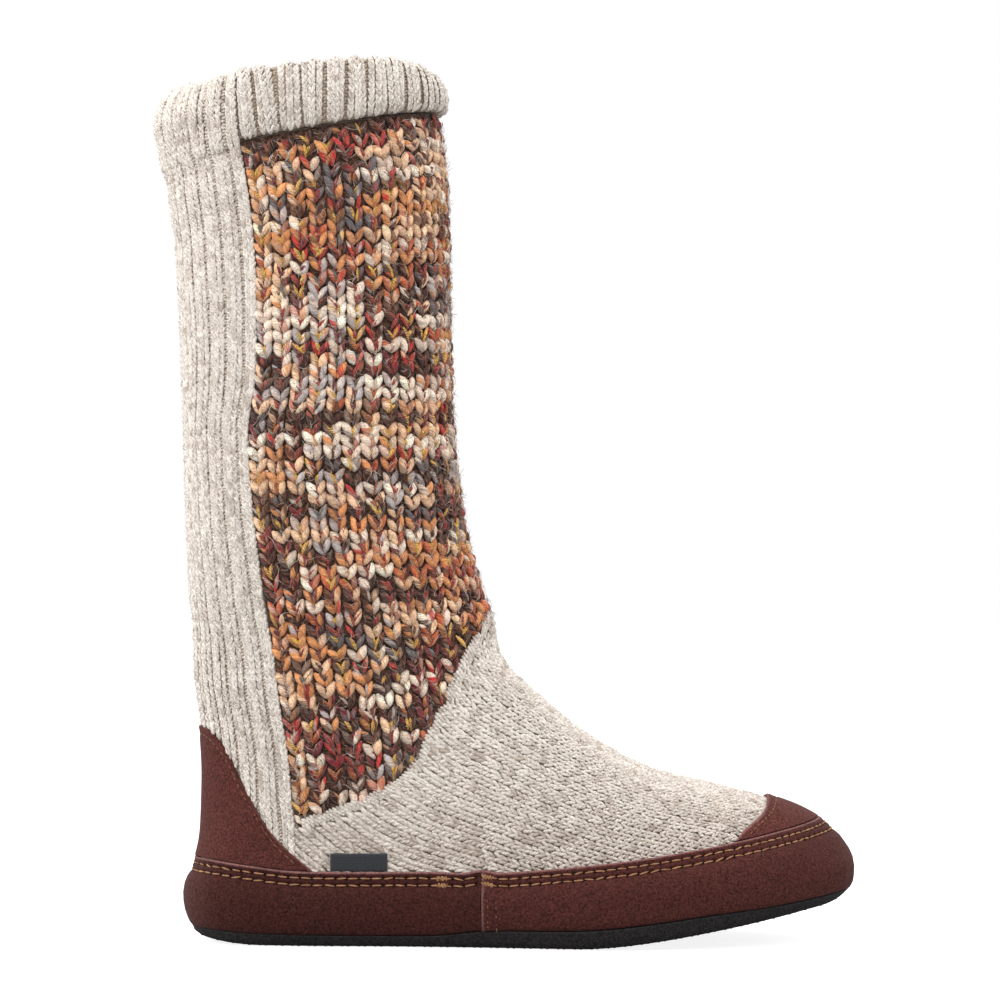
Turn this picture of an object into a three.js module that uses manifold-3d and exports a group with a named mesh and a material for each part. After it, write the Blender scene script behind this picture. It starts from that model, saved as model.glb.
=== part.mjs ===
// Slouch boot: a knitted sock boot on a thin rubber outsole, for the right foot.
//
// The knit is lofted through sections that start at the toe, fan round the heel about the front of the
// ankle and climb the leg to the collar. Every sewn piece is cut from shells of that one form, so
// neighbours stand SEAM apart. Millimetres, +Z up, +X towards the toe, the outer (lateral) side at -Y.
// Tables count X from the back of the heel; the finished group stands with its box centred on the origin.

import * as THREE from "three";
import { mergeVertices } from "three/addons/utils/BufferGeometryUtils.js";
import Module from "manifold-3d";

const wasm = await Module();
wasm.setup();

// ---- driving dimensions -------------------------------------------------------------------------

const FOOT_LENGTH = 252.8; // knit foot, heel to toe
const BALL_WIDTH = 87.2; // knit foot across the ball
const INSTEP_HEIGHT = 107.2; // where the instep turns up into the leg
const LEG_HEIGHT = 314; // collar seam at the front
const LEG_DEPTH = 101.2; // front to back, half way up the leg
const LEG_WIDTH = 80.4; // side to side, half way up the leg

const SEAM = 0.3; // gap between two neighbouring pieces
const KNIT = 3; // wall of the foot and the ribbed back
const CHUNKY = 4.2; // wall of the heavy knit panel, flush with the rest inside
const SUEDE = 1.4; // toe cap and heel counter
const FOOTBED = 4; // insole
const BAND = { edge: 2, belly: 3.6, tuck: 1.9, bellyAt: 0.55 }; // foxing: thickness down its height
const BAND_SEAM_X = 0.45 * FOOT_LENGTH; // where the two lengths of foxing meet, on both sides
const LABEL = { x: 0.267 * FOOT_LENGTH, length: 21.3, height: 6.6, thick: 0.9 };

const AROUND = 34; // facets round a section
const PER_ROW = 2; // sections for each row of the tables below
const FAR = 400; // reach of the cutters

// Sections of the knit's outer face. Each lies in the plane through its low point (at the bottom or
// back) and its high point (at the top or front), across the boot. "half" is its half width, "mid" its
// middle in Y, "belly" how far up it is widest, and "low" and "high" are the powers of the superellipse
// below and above that. X is in hundredths of the foot's length or the leg's depth, Z in hundredths of
// the instep's or the leg's height, and mid and half in hundredths of the ball's or the leg's width.
const FOOT_SECTIONS = [
  { lowX: 99.5, lowZ: 11.2, highX: 99.5, highZ: 30.8, mid: 6.9, half: 9.9, belly: 0.5, low: 2.4, high: 2.2 },
  { lowX: 97.9, lowZ: 1.9, highX: 97.9, highZ: 37.3, mid: 6.4, half: 20.2, belly: 0.5, low: 3, high: 2.2 },
  { lowX: 94.8, lowZ: -5.6, highX: 94.8, highZ: 43.3, mid: 5.3, half: 29.1, belly: 0.5, low: 4, high: 2.1 },
  { lowX: 89.4, lowZ: -9.3, highX: 89.4, highZ: 48.9, mid: 3.4, half: 39, belly: 0.5, low: 4.5, high: 2.1 },
  { lowX: 81.1, lowZ: -12.1, highX: 81.1, highZ: 54.5, mid: 0.7, half: 47.5, belly: 0.46, low: 5, high: 2 },
  { lowX: 69.6, lowZ: -13.1, highX: 69.6, highZ: 61.6, mid: -1.6, half: 50, belly: 0.43, low: 5, high: 1.9 },
  { lowX: 59.3, lowZ: -13.1, highX: 59.3, highZ: 75.7, mid: -2.8, half: 46.6, belly: 0.38, low: 5, high: 1.8 },
  { lowX: 49.8, lowZ: -13.1, highX: 50.4, highZ: 93.1, mid: -3, half: 41.7, belly: 0.36, low: 4.6, high: 1.8 },
  { lowX: 39.6, lowZ: -13.1, highX: 47.8, highZ: 100, mid: -2.3, half: 38.5, belly: 0.38, low: 4.2, high: 1.9 },
  { lowX: 27.7, lowZ: -13.1, highX: 47.2, highZ: 103.5, mid: -1.1, half: 37.4, belly: 0.42, low: 3.8, high: 2 },
  { lowX: 15, lowZ: -13.1, highX: 46.8, highZ: 107.3, mid: -0.5, half: 37.4, belly: 0.45, low: 3.4, high: 2 },
  { lowX: 4.7, lowZ: -7.5, highX: 46.3, highZ: 111.9, mid: 0, half: 37.6, belly: 0.48, low: 2.7, high: 2 },
  { lowX: 1.2, lowZ: 14.9, highX: 45.5, highZ: 118.5, mid: 0, half: 38.1, belly: 0.48, low: 2.3, high: 2 },
];
const LEG_SECTIONS = [
  { lowX: 7.3, lowZ: 13.4, highX: 109.9, highZ: 44.1, mid: 0, half: 42.8, belly: 0.48, low: 2.2, high: 2 },
  { lowX: 7.5, lowZ: 24.2, highX: 105.7, highZ: 48.6, mid: 0, half: 44.8, belly: 0.48, low: 2.2, high: 2.1 },
  { lowX: 3.8, lowZ: 35.7, highX: 102.8, highZ: 54.1, mid: 0, half: 47.3, belly: 0.49, low: 2.2, high: 2.2 },
  { lowX: 1.6, lowZ: 48.4, highX: 100.2, highZ: 61.5, mid: 0, half: 49, belly: 0.5, low: 2.2, high: 2.2 },
  { lowX: 0.2, lowZ: 62.4, highX: 99.2, highZ: 70.7, mid: 0, half: 49.8, belly: 0.5, low: 2.2, high: 2.2 },
  { lowX: -1.4, lowZ: 76.4, highX: 98.6, highZ: 81.5, mid: 0, half: 50, belly: 0.5, low: 2.2, high: 2.2 },
  { lowX: -3.6, lowZ: 87.3, highX: 97.6, highZ: 91.7, mid: 0, half: 49.8, belly: 0.5, low: 2.2, high: 2.2 },
  { lowX: -8.3, lowZ: 93.9, highX: 94.7, highZ: 100, mid: 0, half: 49, belly: 0.5, low: 2.2, high: 2.2 },
  { lowX: -10.4, lowZ: 101.3, highX: 93.3, highZ: 107.3, mid: 0, half: 48.5, belly: 0.5, low: 2.2, high: 2.2 },
];
const TOE_HEIGHT = 22.5; // the toe's foremost point

// Heights along the foot: underside of the outsole, top of the outsole and top of the foxing band. X is
// in hundredths of the foot's length.
const HEIGHTS = [
  { x: -6, floor: 14, sole: 7.4, band: 32.4 },
  { x: 1.2, floor: 4.2, sole: 6.2, band: 32 },
  { x: 5, floor: 1.4, sole: 5.4, band: 32 },
  { x: 11, floor: 0, sole: 4.8, band: 30.4 },
  { x: 19, floor: 0, sole: 4.5, band: 28.5 },
  { x: 37, floor: 0, sole: 4.6, band: 28.5 },
  { x: 46, floor: 0, sole: 6.6, band: 28.2 },
  { x: 60, floor: 0, sole: 7.2, band: 31.2 },
  { x: 70, floor: 2.6, sole: 9.9, band: 34.2 },
  { x: 82, floor: 7.8, sole: 14.9, band: 39 },
  { x: 92, floor: 12.6, sole: 19, band: 43.8 },
  { x: 98, floor: 16.2, sole: 21.1, band: 46.8 },
  { x: 104, floor: 26, sole: 23, band: 49 },
];

// Edges of the sewn pieces in side view. The panel's seam with the ribbed back runs down the leg and its
// hem runs forward to the front of the ankle; the counter's and the toe cap's edges run forward and up.
const PANEL_SEAM = [
  [22.6, 330], [22.6, 305], [28.8, 262], [28.6, 214], [26.2, 190], [30, 148], [36, 107], [44, 46.4],
];
const PANEL_HEM = [[46, 45], [65, 51.6], [86, 62.4], [97.6, 83], [107, 104], [117, 123], [126, 142]];
const COUNTER_EDGE = [[-30, 84], [4, 82.6], [16, 75.6], [25, 59], [36, 41.4], [52, 27], [58, 20]];
const TOE_CAP_EDGE = [[199, 28], [209.4, 41.6], [219.6, 50], [224, 62]];
const EDGE_STEPS = 2; // straight steps between two points of an edge

// Outline of the doubled cuff across its ring: "out" is measured from the knit's outer face and "up" is a
// share of the cuff's height.
const CUFF_PROFILE = [
  { out: -3, up: 0 },
  { out: -3.4, up: 0.5 },
  { out: -3, up: 0.84 },
  { out: -1.4, up: 0.97 },
  { out: 0.8, up: 1 },
  { out: 2.8, up: 0.92 },
  { out: 3.7, up: 0.7 },
  { out: 4, up: 0.4 },
  { out: 3.6, up: 0.14 },
  { out: 2.4, up: 0 },
];
const CUFF_HEIGHT = { front: 19.5, back: 28 };
const CUFF_AROUND = 40;

// ---- the form -----------------------------------------------------------------------------------

const sized = (length, width, height) => (section) => ({
  ...section,
  lowX: (section.lowX / 100) * length,
  highX: (section.highX / 100) * length,
  lowZ: (section.lowZ / 100) * height,
  highZ: (section.highZ / 100) * height,
  mid: (section.mid / 100) * width,
  half: (section.half / 100) * width,
});

const SECTIONS = [
  ...FOOT_SECTIONS.map(sized(FOOT_LENGTH, BALL_WIDTH, INSTEP_HEIGHT)),
  ...LEG_SECTIONS.map(sized(LEG_DEPTH, LEG_WIDTH, LEG_HEIGHT)),
];
const LAST_ROW = SECTIONS.length - 1;
const COLLAR = SECTIONS[LAST_ROW - 1]; // the cuff is sewn on along this section

// Catmull-Rom value between b and c, at t from 0 to 1.
function blend(a, b, c, d, t) {
  return b + 0.5 * t * (c - a + t * (2 * a - 5 * b + 4 * c - d + t * (3 * (b - c) + d - a)));
}

// Smooth value of one column of the sections between its rows.
function column(name, row) {
  const i = Math.min(Math.floor(row), LAST_ROW - 1);
  const at = (k) => SECTIONS[THREE.MathUtils.clamp(k, 0, LAST_ROW)][name];
  return blend(at(i - 1), at(i), at(i + 1), at(i + 2), row - i);
}

const power = (value, exponent) => Math.sign(value) * Math.abs(value) ** exponent;

// Point on the knit's outer face: "row" along the sections, "turn" round one. Turn 0 is the low point,
// 0.25 the inner (medial) side, 0.5 the high point and 0.75 the outer (lateral) side.
function onForm(row, turn) {
  const low = new THREE.Vector2(column("lowX", row), column("lowZ", row));
  const high = new THREE.Vector2(column("highX", row), column("highZ", row));
  const belly = column("belly", row);
  const upward = -Math.cos(turn * 2 * Math.PI);
  const sideways = Math.sin(turn * 2 * Math.PI);
  const exponent = 2 / column(upward < 0 ? "low" : "high", row);
  const reach = upward < 0 ? belly : 1 - belly;
  const spine = low.lerp(high, belly + reach * power(upward, exponent));
  const y = column("mid", row) + column("half", row) * power(sideways, exponent);
  return new THREE.Vector3(spine.x, y, spine.y);
}

function normalOnForm(row, turn) {
  const step = 1e-3;
  const along = onForm(Math.min(row + step, LAST_ROW), turn).sub(onForm(Math.max(row - step, 0), turn));
  const round = onForm(row, turn + step).sub(onForm(row, turn - step));
  return along.cross(round).normalize();
}

// The solid inside the knit's outer face moved out along its normals by offset(point).
function form(offset) {
  const rings = LAST_ROW * PER_ROW + 1;
  const points = [];
  for (let ring = 0; ring < rings; ring++) {
    for (let i = 0; i < AROUND; i++) {
      const turn = (i + 0.5) / AROUND;
      const point = onForm(ring / PER_ROW, turn);
      points.push(point.addScaledVector(normalOnForm(ring / PER_ROW, turn), offset(point)));
    }
  }
  const tip = new THREE.Vector3(FOOT_LENGTH, SECTIONS[0].mid, TOE_HEIGHT);
  tip.x += offset(tip);
  const end = SECTIONS[LAST_ROW];
  const top = new THREE.Vector3((end.lowX + end.highX) / 2, 0, (end.lowZ + end.highZ) / 2);
  const [toe, lid] = [points.length, points.length + 1];
  points.push(tip, top);
  const faces = [];
  for (let i = 0; i < AROUND; i++) {
    const next = (i + 1) % AROUND;
    const highest = (rings - 1) * AROUND;
    faces.push(toe, i, next, lid, highest + next, highest + i);
    for (let base = 0; base < highest; base += AROUND) {
      const [a, b, c, d] = [base + i, base + next, base + AROUND + i, base + AROUND + next];
      faces.push(a, c, b, b, c, d);
    }
  }
  return solidOf(points, faces);
}

const shell = (outer, inner) => form(() => outer).subtract(form(() => inner));

// ---- solids and cutters ---------------------------------------------------------------------------

function solidOf(points, faces) {
  const vertProperties = new Float32Array(points.flatMap((p) => [p.x, p.y, p.z]));
  return new wasm.Manifold(new wasm.Mesh({ numProp: 3, vertProperties, triVerts: new Uint32Array(faces) }));
}

// A side-view outline made into a wall across the boot.
function across(outline, from = -FAR, to = FAR) {
  const shape = new THREE.Shape(outline.map(([x, z]) => new THREE.Vector2(x, z)));
  const wall = new THREE.ExtrudeGeometry(shape, { depth: to - from, bevelEnabled: false });
  wall.rotateX(Math.PI / 2); // the outline's Y becomes Z, and the depth runs towards -Y
  wall.translate(0, to, 0);
  wall.deleteAttribute("normal");
  wall.deleteAttribute("uv");
  const merged = mergeVertices(wall);
  const vertProperties = merged.attributes.position.array;
  return new wasm.Manifold(
    new wasm.Mesh({ numProp: 3, vertProperties, triVerts: new Uint32Array(merged.index.array) }),
  );
}

// A side-view line with its corners rounded off by a curve through the same points.
function smooth(line) {
  const curve = new THREE.SplineCurve(line.map(([x, z]) => new THREE.Vector2(x, z)));
  return curve.getPoints((line.length - 1) * EDGE_STEPS).map((p) => [p.x, p.y]);
}

// One column of HEIGHTS as a side-view line, moved up by "lift".
function heights(name, lift = 0) {
  const line = smooth(HEIGHTS.map((station) => [(station.x / 100) * FOOT_LENGTH, station[name]]));
  return line.map(([x, z]) => [x, Math.max(z, 0) + lift]);
}

function heightAt(name, x) {
  const line = heights(name);
  const i = THREE.MathUtils.clamp(line.findIndex((p) => p[0] >= x), 1, line.length - 1);
  return THREE.MathUtils.mapLinear(x, line[i - 1][0], line[i][0], line[i - 1][1], line[i][1]);
}

// Everything above or below a side-view line that runs forward.
const above = (line) => across([...line, [line.at(-1)[0], FAR], [line[0][0], FAR]]);
const below = (line) => across([[line[0][0], -FAR], [line.at(-1)[0], -FAR], ...[...line].reverse()]);
const between = (lower, upper) => above(lower).intersect(below(upper));

// The collar's plane in side view, lowered by SEAM to leave room for the cuff.
function collarLine() {
  const slope = (COLLAR.highZ - COLLAR.lowZ) / (COLLAR.highX - COLLAR.lowX);
  return [-FAR, FAR].map((x) => [x, COLLAR.lowZ + (x - COLLAR.lowX) * slope - SEAM]);
}

// Forward of the panel's seam and above its hem, with "grow" added all round.
function panelRegion(grow) {
  const outline = [...smooth(PANEL_SEAM), ...smooth(PANEL_HEM), [PANEL_HEM.at(-1)[0], PANEL_SEAM[0][1]]];
  const count = outline.length;
  const grown = outline.map(([x, z], i) => {
    const [x0, z0] = outline[(i + count - 1) % count];
    const [x1, z1] = outline[(i + 1) % count];
    const outward = new THREE.Vector2(z1 - z0, x0 - x1).setLength(grow);
    return [x + outward.x, z + outward.y];
  });
  return across(grown);
}

// ---- pieces -------------------------------------------------------------------------------------

function makeUpper() {
  return shell(0, -KNIT)
    .intersect(above(heights("sole", SEAM)))
    .intersect(below(collarLine()))
    .subtract(panelRegion(SEAM));
}

function makePanel() {
  return shell(CHUNKY - KNIT, -KNIT).intersect(panelRegion(0)).intersect(below(collarLine()));
}

// Distance from the knit to the foxing's outer face: it hugs the knit at its top edge, bulges half way
// down and turns under at the sole's edge.
function bandOffset(point) {
  const top = heightAt("band", point.x);
  const bottom = heightAt("sole", point.x);
  const down = THREE.MathUtils.clamp((top - point.z) / (top - bottom), 0, 1);
  const rising = down < BAND.bellyAt;
  const away = rising ? 1 - down / BAND.bellyAt : (down - BAND.bellyAt) / (1 - BAND.bellyAt);
  return THREE.MathUtils.lerp(BAND.belly, rising ? BAND.edge : BAND.tuck, away ** 2);
}

function makeBand(fromX, toX) {
  return form(bandOffset)
    .subtract(form(() => SEAM))
    .intersect(between(heights("sole", SEAM), heights("band")))
    .intersect(across([[fromX, 0], [toX, 0], [toX, FAR], [fromX, FAR]]));
}

const makeOutsole = () => form(bandOffset).intersect(between(heights("floor"), heights("sole")));

function makeInsole() {
  const layer = between(heights("sole", SEAM), heights("sole", SEAM + FOOTBED));
  return form(() => -KNIT - SEAM).intersect(layer);
}

// A suede overlay that ends at the foxing's top edge.
function overlay(region) {
  return shell(SUEDE + SEAM, SEAM)
    .intersect(region)
    .intersect(above(heights("band", SEAM)));
}

const makeCounter = () => overlay(below(smooth(COUNTER_EDGE)));

function makeToeCap() {
  const beyond = FOOT_LENGTH + 20;
  const edge = smooth(TOE_CAP_EDGE);
  return overlay(across([[beyond, edge[0][1]], [beyond, edge.at(-1)[1]], ...edge.reverse()]));
}

// A woven tab let into the foxing's top edge on the outer side.
function makeLabel() {
  const [rear, front] = [LABEL.x - LABEL.length / 2, LABEL.x + LABEL.length / 2];
  const bottom = heightAt("band", LABEL.x) + SEAM;
  const top = bottom + LABEL.height;
  const tab = across([[rear, bottom], [front, bottom], [front, top], [rear, top]], -FAR, 0);
  return shell(SEAM + LABEL.thick, SEAM).intersect(tab);
}

// The doubled rib band that finishes the leg, swept round the collar's section.
function makeCuff() {
  const points = [];
  const faces = [];
  const count = CUFF_PROFILE.length;
  const slope = (COLLAR.highZ - COLLAR.lowZ) / (COLLAR.highX - COLLAR.lowX);
  for (let i = 0; i < CUFF_AROUND; i++) {
    const turn = i / CUFF_AROUND;
    const seam = onForm(LAST_ROW - 1, turn);
    const outward = normalOnForm(LAST_ROW - 1, turn).setZ(0).normalize();
    const backness = 0.5 + 0.5 * Math.cos(turn * 2 * Math.PI);
    const height = THREE.MathUtils.lerp(CUFF_HEIGHT.front, CUFF_HEIGHT.back, backness);
    for (const { out, up } of CUFF_PROFILE) {
      const point = seam.clone().addScaledVector(outward, out);
      point.z += outward.x * out * slope + up * height;
      points.push(point);
    }
  }
  for (let i = 0; i < CUFF_AROUND; i++) {
    const next = (i + 1) % CUFF_AROUND;
    for (let k = 0; k < count; k++) {
      const [a, b] = [i * count + k, i * count + ((k + 1) % count)];
      const [c, d] = [next * count + k, next * count + ((k + 1) % count)];
      faces.push(a, c, b, b, c, d);
    }
  }
  return solidOf(points, faces);
}

// ---- the boot -----------------------------------------------------------------------------------

const finish = (color, roughness) => new THREE.MeshStandardMaterial({ color, roughness, metalness: 0 });
const OATMEAL_KNIT = finish(0xcfc5b8, 0.95);
const CHUNKY_KNIT = finish(0x9a6a4c, 0.95);
const BROWN_SUEDE = finish(0x55302b, 0.9);
const BLACK_RUBBER = finish(0x1c1c1c, 0.7);
const FLEECE = finish(0xd8cfc0, 1);
const SLATE_TAPE = finish(0x3b3d42, 0.8);

function meshOf(name, solid, material) {
  const { vertProperties, triVerts } = solid.getMesh();
  const geometry = new THREE.BufferGeometry();
  geometry.setAttribute("position", new THREE.BufferAttribute(new Float32Array(vertProperties), 3));
  geometry.setIndex(new THREE.BufferAttribute(new Uint32Array(triVerts), 1));
  geometry.computeVertexNormals();
  const mesh = new THREE.Mesh(geometry, material);
  mesh.name = name;
  return mesh;
}

const boot = new THREE.Group();
boot.add(
  meshOf("outsole", makeOutsole(), BLACK_RUBBER),
  meshOf("insole", makeInsole(), FLEECE),
  meshOf("upper", makeUpper(), OATMEAL_KNIT),
  meshOf("shaft_panel", makePanel(), CHUNKY_KNIT),
  meshOf("cuff", makeCuff(), OATMEAL_KNIT),
  meshOf("heel_counter", makeCounter(), BROWN_SUEDE),
  meshOf("toe_cap", makeToeCap(), BROWN_SUEDE),
  meshOf("foxing_rear", makeBand(-FAR, BAND_SEAM_X - SEAM / 2), BROWN_SUEDE),
  meshOf("foxing_front", makeBand(BAND_SEAM_X + SEAM / 2, FAR), BROWN_SUEDE),
  meshOf("label", makeLabel(), SLATE_TAPE),
);

const box = new THREE.Box3().setFromObject(boot);
const middle = box.getCenter(new THREE.Vector3());
boot.position.set(-middle.x, -middle.y, -box.min.z);

export default boot;
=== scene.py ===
"""Slouch boot: the finished surfaces of a knitted sock boot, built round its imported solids.

Laid out as an add-on and run as a script. The knit is drawn as real stitches: a chart of points is
walked over the form of the foot and leg, and Geometry Nodes put a plump leg of yarn on every point.
Suede, rubber and fleece are closed shells of the same form. Shapes are worked out in millimetres from
the back of the heel, and place() turns them into the frame's metres.
"""

import functools
import math

import bmesh
import bpy
import numpy as np
from bpy.props import FloatProperty, FloatVectorProperty, IntProperty, PointerProperty
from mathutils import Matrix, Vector, noise
from mathutils.bvhtree import BVHTree


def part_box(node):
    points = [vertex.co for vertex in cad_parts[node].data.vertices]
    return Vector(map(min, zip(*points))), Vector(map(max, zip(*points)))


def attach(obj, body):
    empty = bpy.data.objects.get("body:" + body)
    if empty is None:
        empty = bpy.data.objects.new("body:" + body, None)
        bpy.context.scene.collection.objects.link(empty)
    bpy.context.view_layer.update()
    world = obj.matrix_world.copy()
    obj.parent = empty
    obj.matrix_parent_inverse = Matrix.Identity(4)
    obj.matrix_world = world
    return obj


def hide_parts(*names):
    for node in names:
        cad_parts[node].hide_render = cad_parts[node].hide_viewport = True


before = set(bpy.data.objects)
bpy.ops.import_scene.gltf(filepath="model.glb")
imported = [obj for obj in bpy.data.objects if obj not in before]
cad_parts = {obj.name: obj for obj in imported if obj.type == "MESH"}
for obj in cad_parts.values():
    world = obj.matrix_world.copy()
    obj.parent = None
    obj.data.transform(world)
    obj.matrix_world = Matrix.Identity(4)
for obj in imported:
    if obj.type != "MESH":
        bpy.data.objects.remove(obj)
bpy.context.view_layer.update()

bl_info = {
    "name": "Slouch boot",
    "version": (1, 0, 0),
    "blender": (4, 5, 0),
    "location": "3D View > Sidebar > Slouch boot",
    "description": "Builds the knit, suede, rubber and thread of a slouch boot round its packed solids",
    "category": "Add Mesh",
}

MM = 0.001
BODY = "root"

# ---- sizes shared with the solids, in millimetres --------------------------------------------------

FOOT_LENGTH = 252.8
BALL_WIDTH = 87.2
INSTEP_HEIGHT = 107.2
LEG_HEIGHT = 314.0
LEG_DEPTH = 101.2
LEG_WIDTH = 80.4

SEAM = 0.3
KNIT = 3.0
SUEDE = 1.4
FOOTBED = 4.0
BAND_EDGE, BAND_BELLY, BAND_TUCK, BAND_BELLY_AT = 2.0, 3.6, 1.9, 0.55
BAND_SEAM_X = 0.45 * FOOT_LENGTH
LABEL_X = 0.267 * FOOT_LENGTH
LABEL_LENGTH, LABEL_HEIGHT, LABEL_THICK = 21.3, 6.6, 0.9

# Sections of the knit's outer face, each across the boot through a low and a high point. X is in
# hundredths of the foot's length or the leg's depth, Z of the instep's or the leg's height, and the
# middle and half width of the ball's or the leg's width. "belly" is how far up a section is widest,
# "low" and "high" are the powers of its superellipse below and above that.
COLUMNS = ("low_x", "low_z", "high_x", "high_z", "mid", "half", "belly", "low", "high")
FOOT_SECTIONS = (
    (99.5, 11.2, 99.5, 30.8, 6.9, 9.9, 0.5, 2.4, 2.2),
    (97.9, 1.9, 97.9, 37.3, 6.4, 20.2, 0.5, 3, 2.2),
    (94.8, -5.6, 94.8, 43.3, 5.3, 29.1, 0.5, 4, 2.1),
    (89.4, -9.3, 89.4, 48.9, 3.4, 39, 0.5, 4.5, 2.1),
    (81.1, -12.1, 81.1, 54.5, 0.7, 47.5, 0.46, 5, 2),
    (69.6, -13.1, 69.6, 61.6, -1.6, 50, 0.43, 5, 1.9),
    (59.3, -13.1, 59.3, 75.7, -2.8, 46.6, 0.38, 5, 1.8),
    (49.8, -13.1, 50.4, 93.1, -3, 41.7, 0.36, 4.6, 1.8),
    (39.6, -13.1, 47.8, 100, -2.3, 38.5, 0.38, 4.2, 1.9),
    (27.7, -13.1, 47.2, 103.5, -1.1, 37.4, 0.42, 3.8, 2),
    (15, -13.1, 46.8, 107.3, -0.5, 37.4, 0.45, 3.4, 2),
    (4.7, -7.5, 46.3, 111.9, 0, 37.6, 0.48, 2.7, 2),
    (1.2, 14.9, 45.5, 118.5, 0, 38.1, 0.48, 2.3, 2),
)
LEG_SECTIONS = (
    (7.3, 13.4, 109.9, 44.1, 0, 42.8, 0.48, 2.2, 2),
    (7.5, 24.2, 105.7, 48.6, 0, 44.8, 0.48, 2.2, 2.1),
    (3.8, 35.7, 102.8, 54.1, 0, 47.3, 0.49, 2.2, 2.2),
    (1.6, 48.4, 100.2, 61.5, 0, 49, 0.5, 2.2, 2.2),
    (0.2, 62.4, 99.2, 70.7, 0, 49.8, 0.5, 2.2, 2.2),
    (-1.4, 76.4, 98.6, 81.5, 0, 50, 0.5, 2.2, 2.2),
    (-3.6, 87.3, 97.6, 91.7, 0, 49.8, 0.5, 2.2, 2.2),
    (-8.3, 93.9, 94.7, 100, 0, 49, 0.5, 2.2, 2.2),
    (-10.4, 101.3, 93.3, 107.3, 0, 48.5, 0.5, 2.2, 2.2),
)
TOE_HEIGHT = 22.5

# Underside of the outsole, top of the outsole and top of the foxing band along the foot; X is in
# hundredths of the foot's length.
HEIGHTS_X = (-6, 1.2, 5, 11, 19, 37, 46, 60, 70, 82, 92, 98, 104)
HEIGHTS = {
    "floor": (14, 4.2, 1.4, 0, 0, 0, 0, 0, 2.6, 7.8, 12.6, 16.2, 26),
    "sole": (7.4, 6.2, 5.4, 4.8, 4.5, 4.6, 6.6, 7.2, 9.9, 14.9, 19, 21.1, 23),
    "band": (32.4, 32, 32, 30.4, 28.5, 28.5, 28.2, 31.2, 34.2, 39, 43.8, 46.8, 49),
}

# Edges of the sewn pieces in side view.
PANEL_SEAM = (
    (22.6, 330), (22.6, 305), (28.8, 262), (28.6, 214), (26.2, 190), (30, 148), (36, 107), (44, 46.4),
)
PANEL_HEM = ((46, 45), (65, 51.6), (86, 62.4), (97.6, 83), (107, 104), (117, 123), (126, 142))
COUNTER_EDGE = ((-30, 84), (4, 82.6), (16, 75.6), (25, 59), (36, 41.4), (52, 27), (58, 20))
TOE_CAP_EDGE = ((199, 28), (209.4, 41.6), (219.6, 50), (224, 62))

# Outline of the doubled cuff across its ring, from its inner foot over the top to its outer foot.
CUFF_PROFILE = (
    (-3, 0), (-3.4, 0.5), (-3, 0.84), (-1.4, 0.97), (0.8, 1), (2.8, 0.92), (3.7, 0.7), (4, 0.4),
    (3.6, 0.14), (2.4, 0),
)
CUFF_FRONT, CUFF_BACK = 19.5, 28.0

# Soft troughs (negative) and ridges (positive) pressed into the knit: the two ends of each in side view,
# its half width, its depth, and the side it lies on (-1 outer, 1 inner, 0 both).
CREASES = (
    ((98, 128), (124, 134), 7, -1.1, 0),
    ((86, 116), (112, 122), 8, 0.7, 0),
    ((76, 138), (100, 146), 9, -0.6, 0),
    ((-6, 288), (12, 293), 5, -0.9, 0),
    ((-4, 276), (16, 280), 8, 0.6, 0),
    ((4, 120), (22, 112), 9, -0.7, 0),
    ((6, 98), (26, 92), 9, 0.5, 0),
    ((20, 190), (38, 196), 10, -0.5, -1),
    ((150, 84), (176, 60), 9, -0.5, -1),
    ((140, 52), (170, 44), 8, 0.5, 1),
)

# ---- the form --------------------------------------------------------------------------------------

LAST_ROW = len(FOOT_SECTIONS) + len(LEG_SECTIONS) - 1
COLLAR_ROW = LAST_ROW - 1
CLIMB_ROW = 7  # from this section on, every line along the form climbs towards the collar

_foot = np.array(FOOT_SECTIONS, float)
_leg = np.array(LEG_SECTIONS, float)
for _table, _length, _height, _width in (
    (_foot, FOOT_LENGTH, INSTEP_HEIGHT, BALL_WIDTH),
    (_leg, LEG_DEPTH, LEG_HEIGHT, LEG_WIDTH),
):
    _table[:, [0, 2]] *= _length / 100
    _table[:, [1, 3]] *= _height / 100
    _table[:, [4, 5]] *= _width / 100
SECTIONS = dict(zip(COLUMNS, np.vstack((_foot, _leg)).T))

_upper_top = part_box("upper")[1]
_cuff_low, _cuff_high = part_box("cuff")
ORIGIN = np.array((_upper_top.x - FOOT_LENGTH * MM, (_cuff_low.y + _cuff_high.y) / 2, 0.0))


def place(points):
    """Millimetres from the back of the heel to the frame's metres."""
    return np.asarray(points, float) * MM + ORIGIN


def lerp(a, b, t):
    return a + (b - a) * t


def ease(t):
    t = np.clip(t, 0, 1)
    return t * t * (3 - 2 * t)


def unit(vectors):
    vectors = np.asarray(vectors, float)
    return vectors / np.maximum(np.linalg.norm(vectors, axis=-1, keepdims=True), 1e-12)


def run_along(line):
    """Length from the start of a line to each of its points."""
    return np.concatenate(([0], np.cumsum(np.linalg.norm(np.diff(line, axis=0), axis=1))))


def at_run(at, run, values):
    """Rows of values at the lengths "at" of a line that has them at the lengths "run"."""
    return np.column_stack([np.interp(at, run, column) for column in values.T])


def side_view(points):
    """X and Z of points."""
    return np.asarray(points, float)[..., [0, 2]]


def blend(a, b, c, d, t):
    """Catmull-Rom value between b and c."""
    return b + 0.5 * t * (c - a + t * (2 * a - 5 * b + 4 * c - d + t * (3 * (b - c) + d - a)))


def through(values, position):
    """Smooth value of a column at a fractional place along it."""
    values = np.asarray(values, float)
    last = len(values) - 1
    i = np.clip(np.floor(position).astype(int), 0, last - 1)
    around = (values[np.clip(i + k, 0, last)] for k in (-1, 0, 1, 2))
    t = position - i
    if values.ndim > 1:
        t = t[..., None]
    return blend(*around, t)


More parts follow.
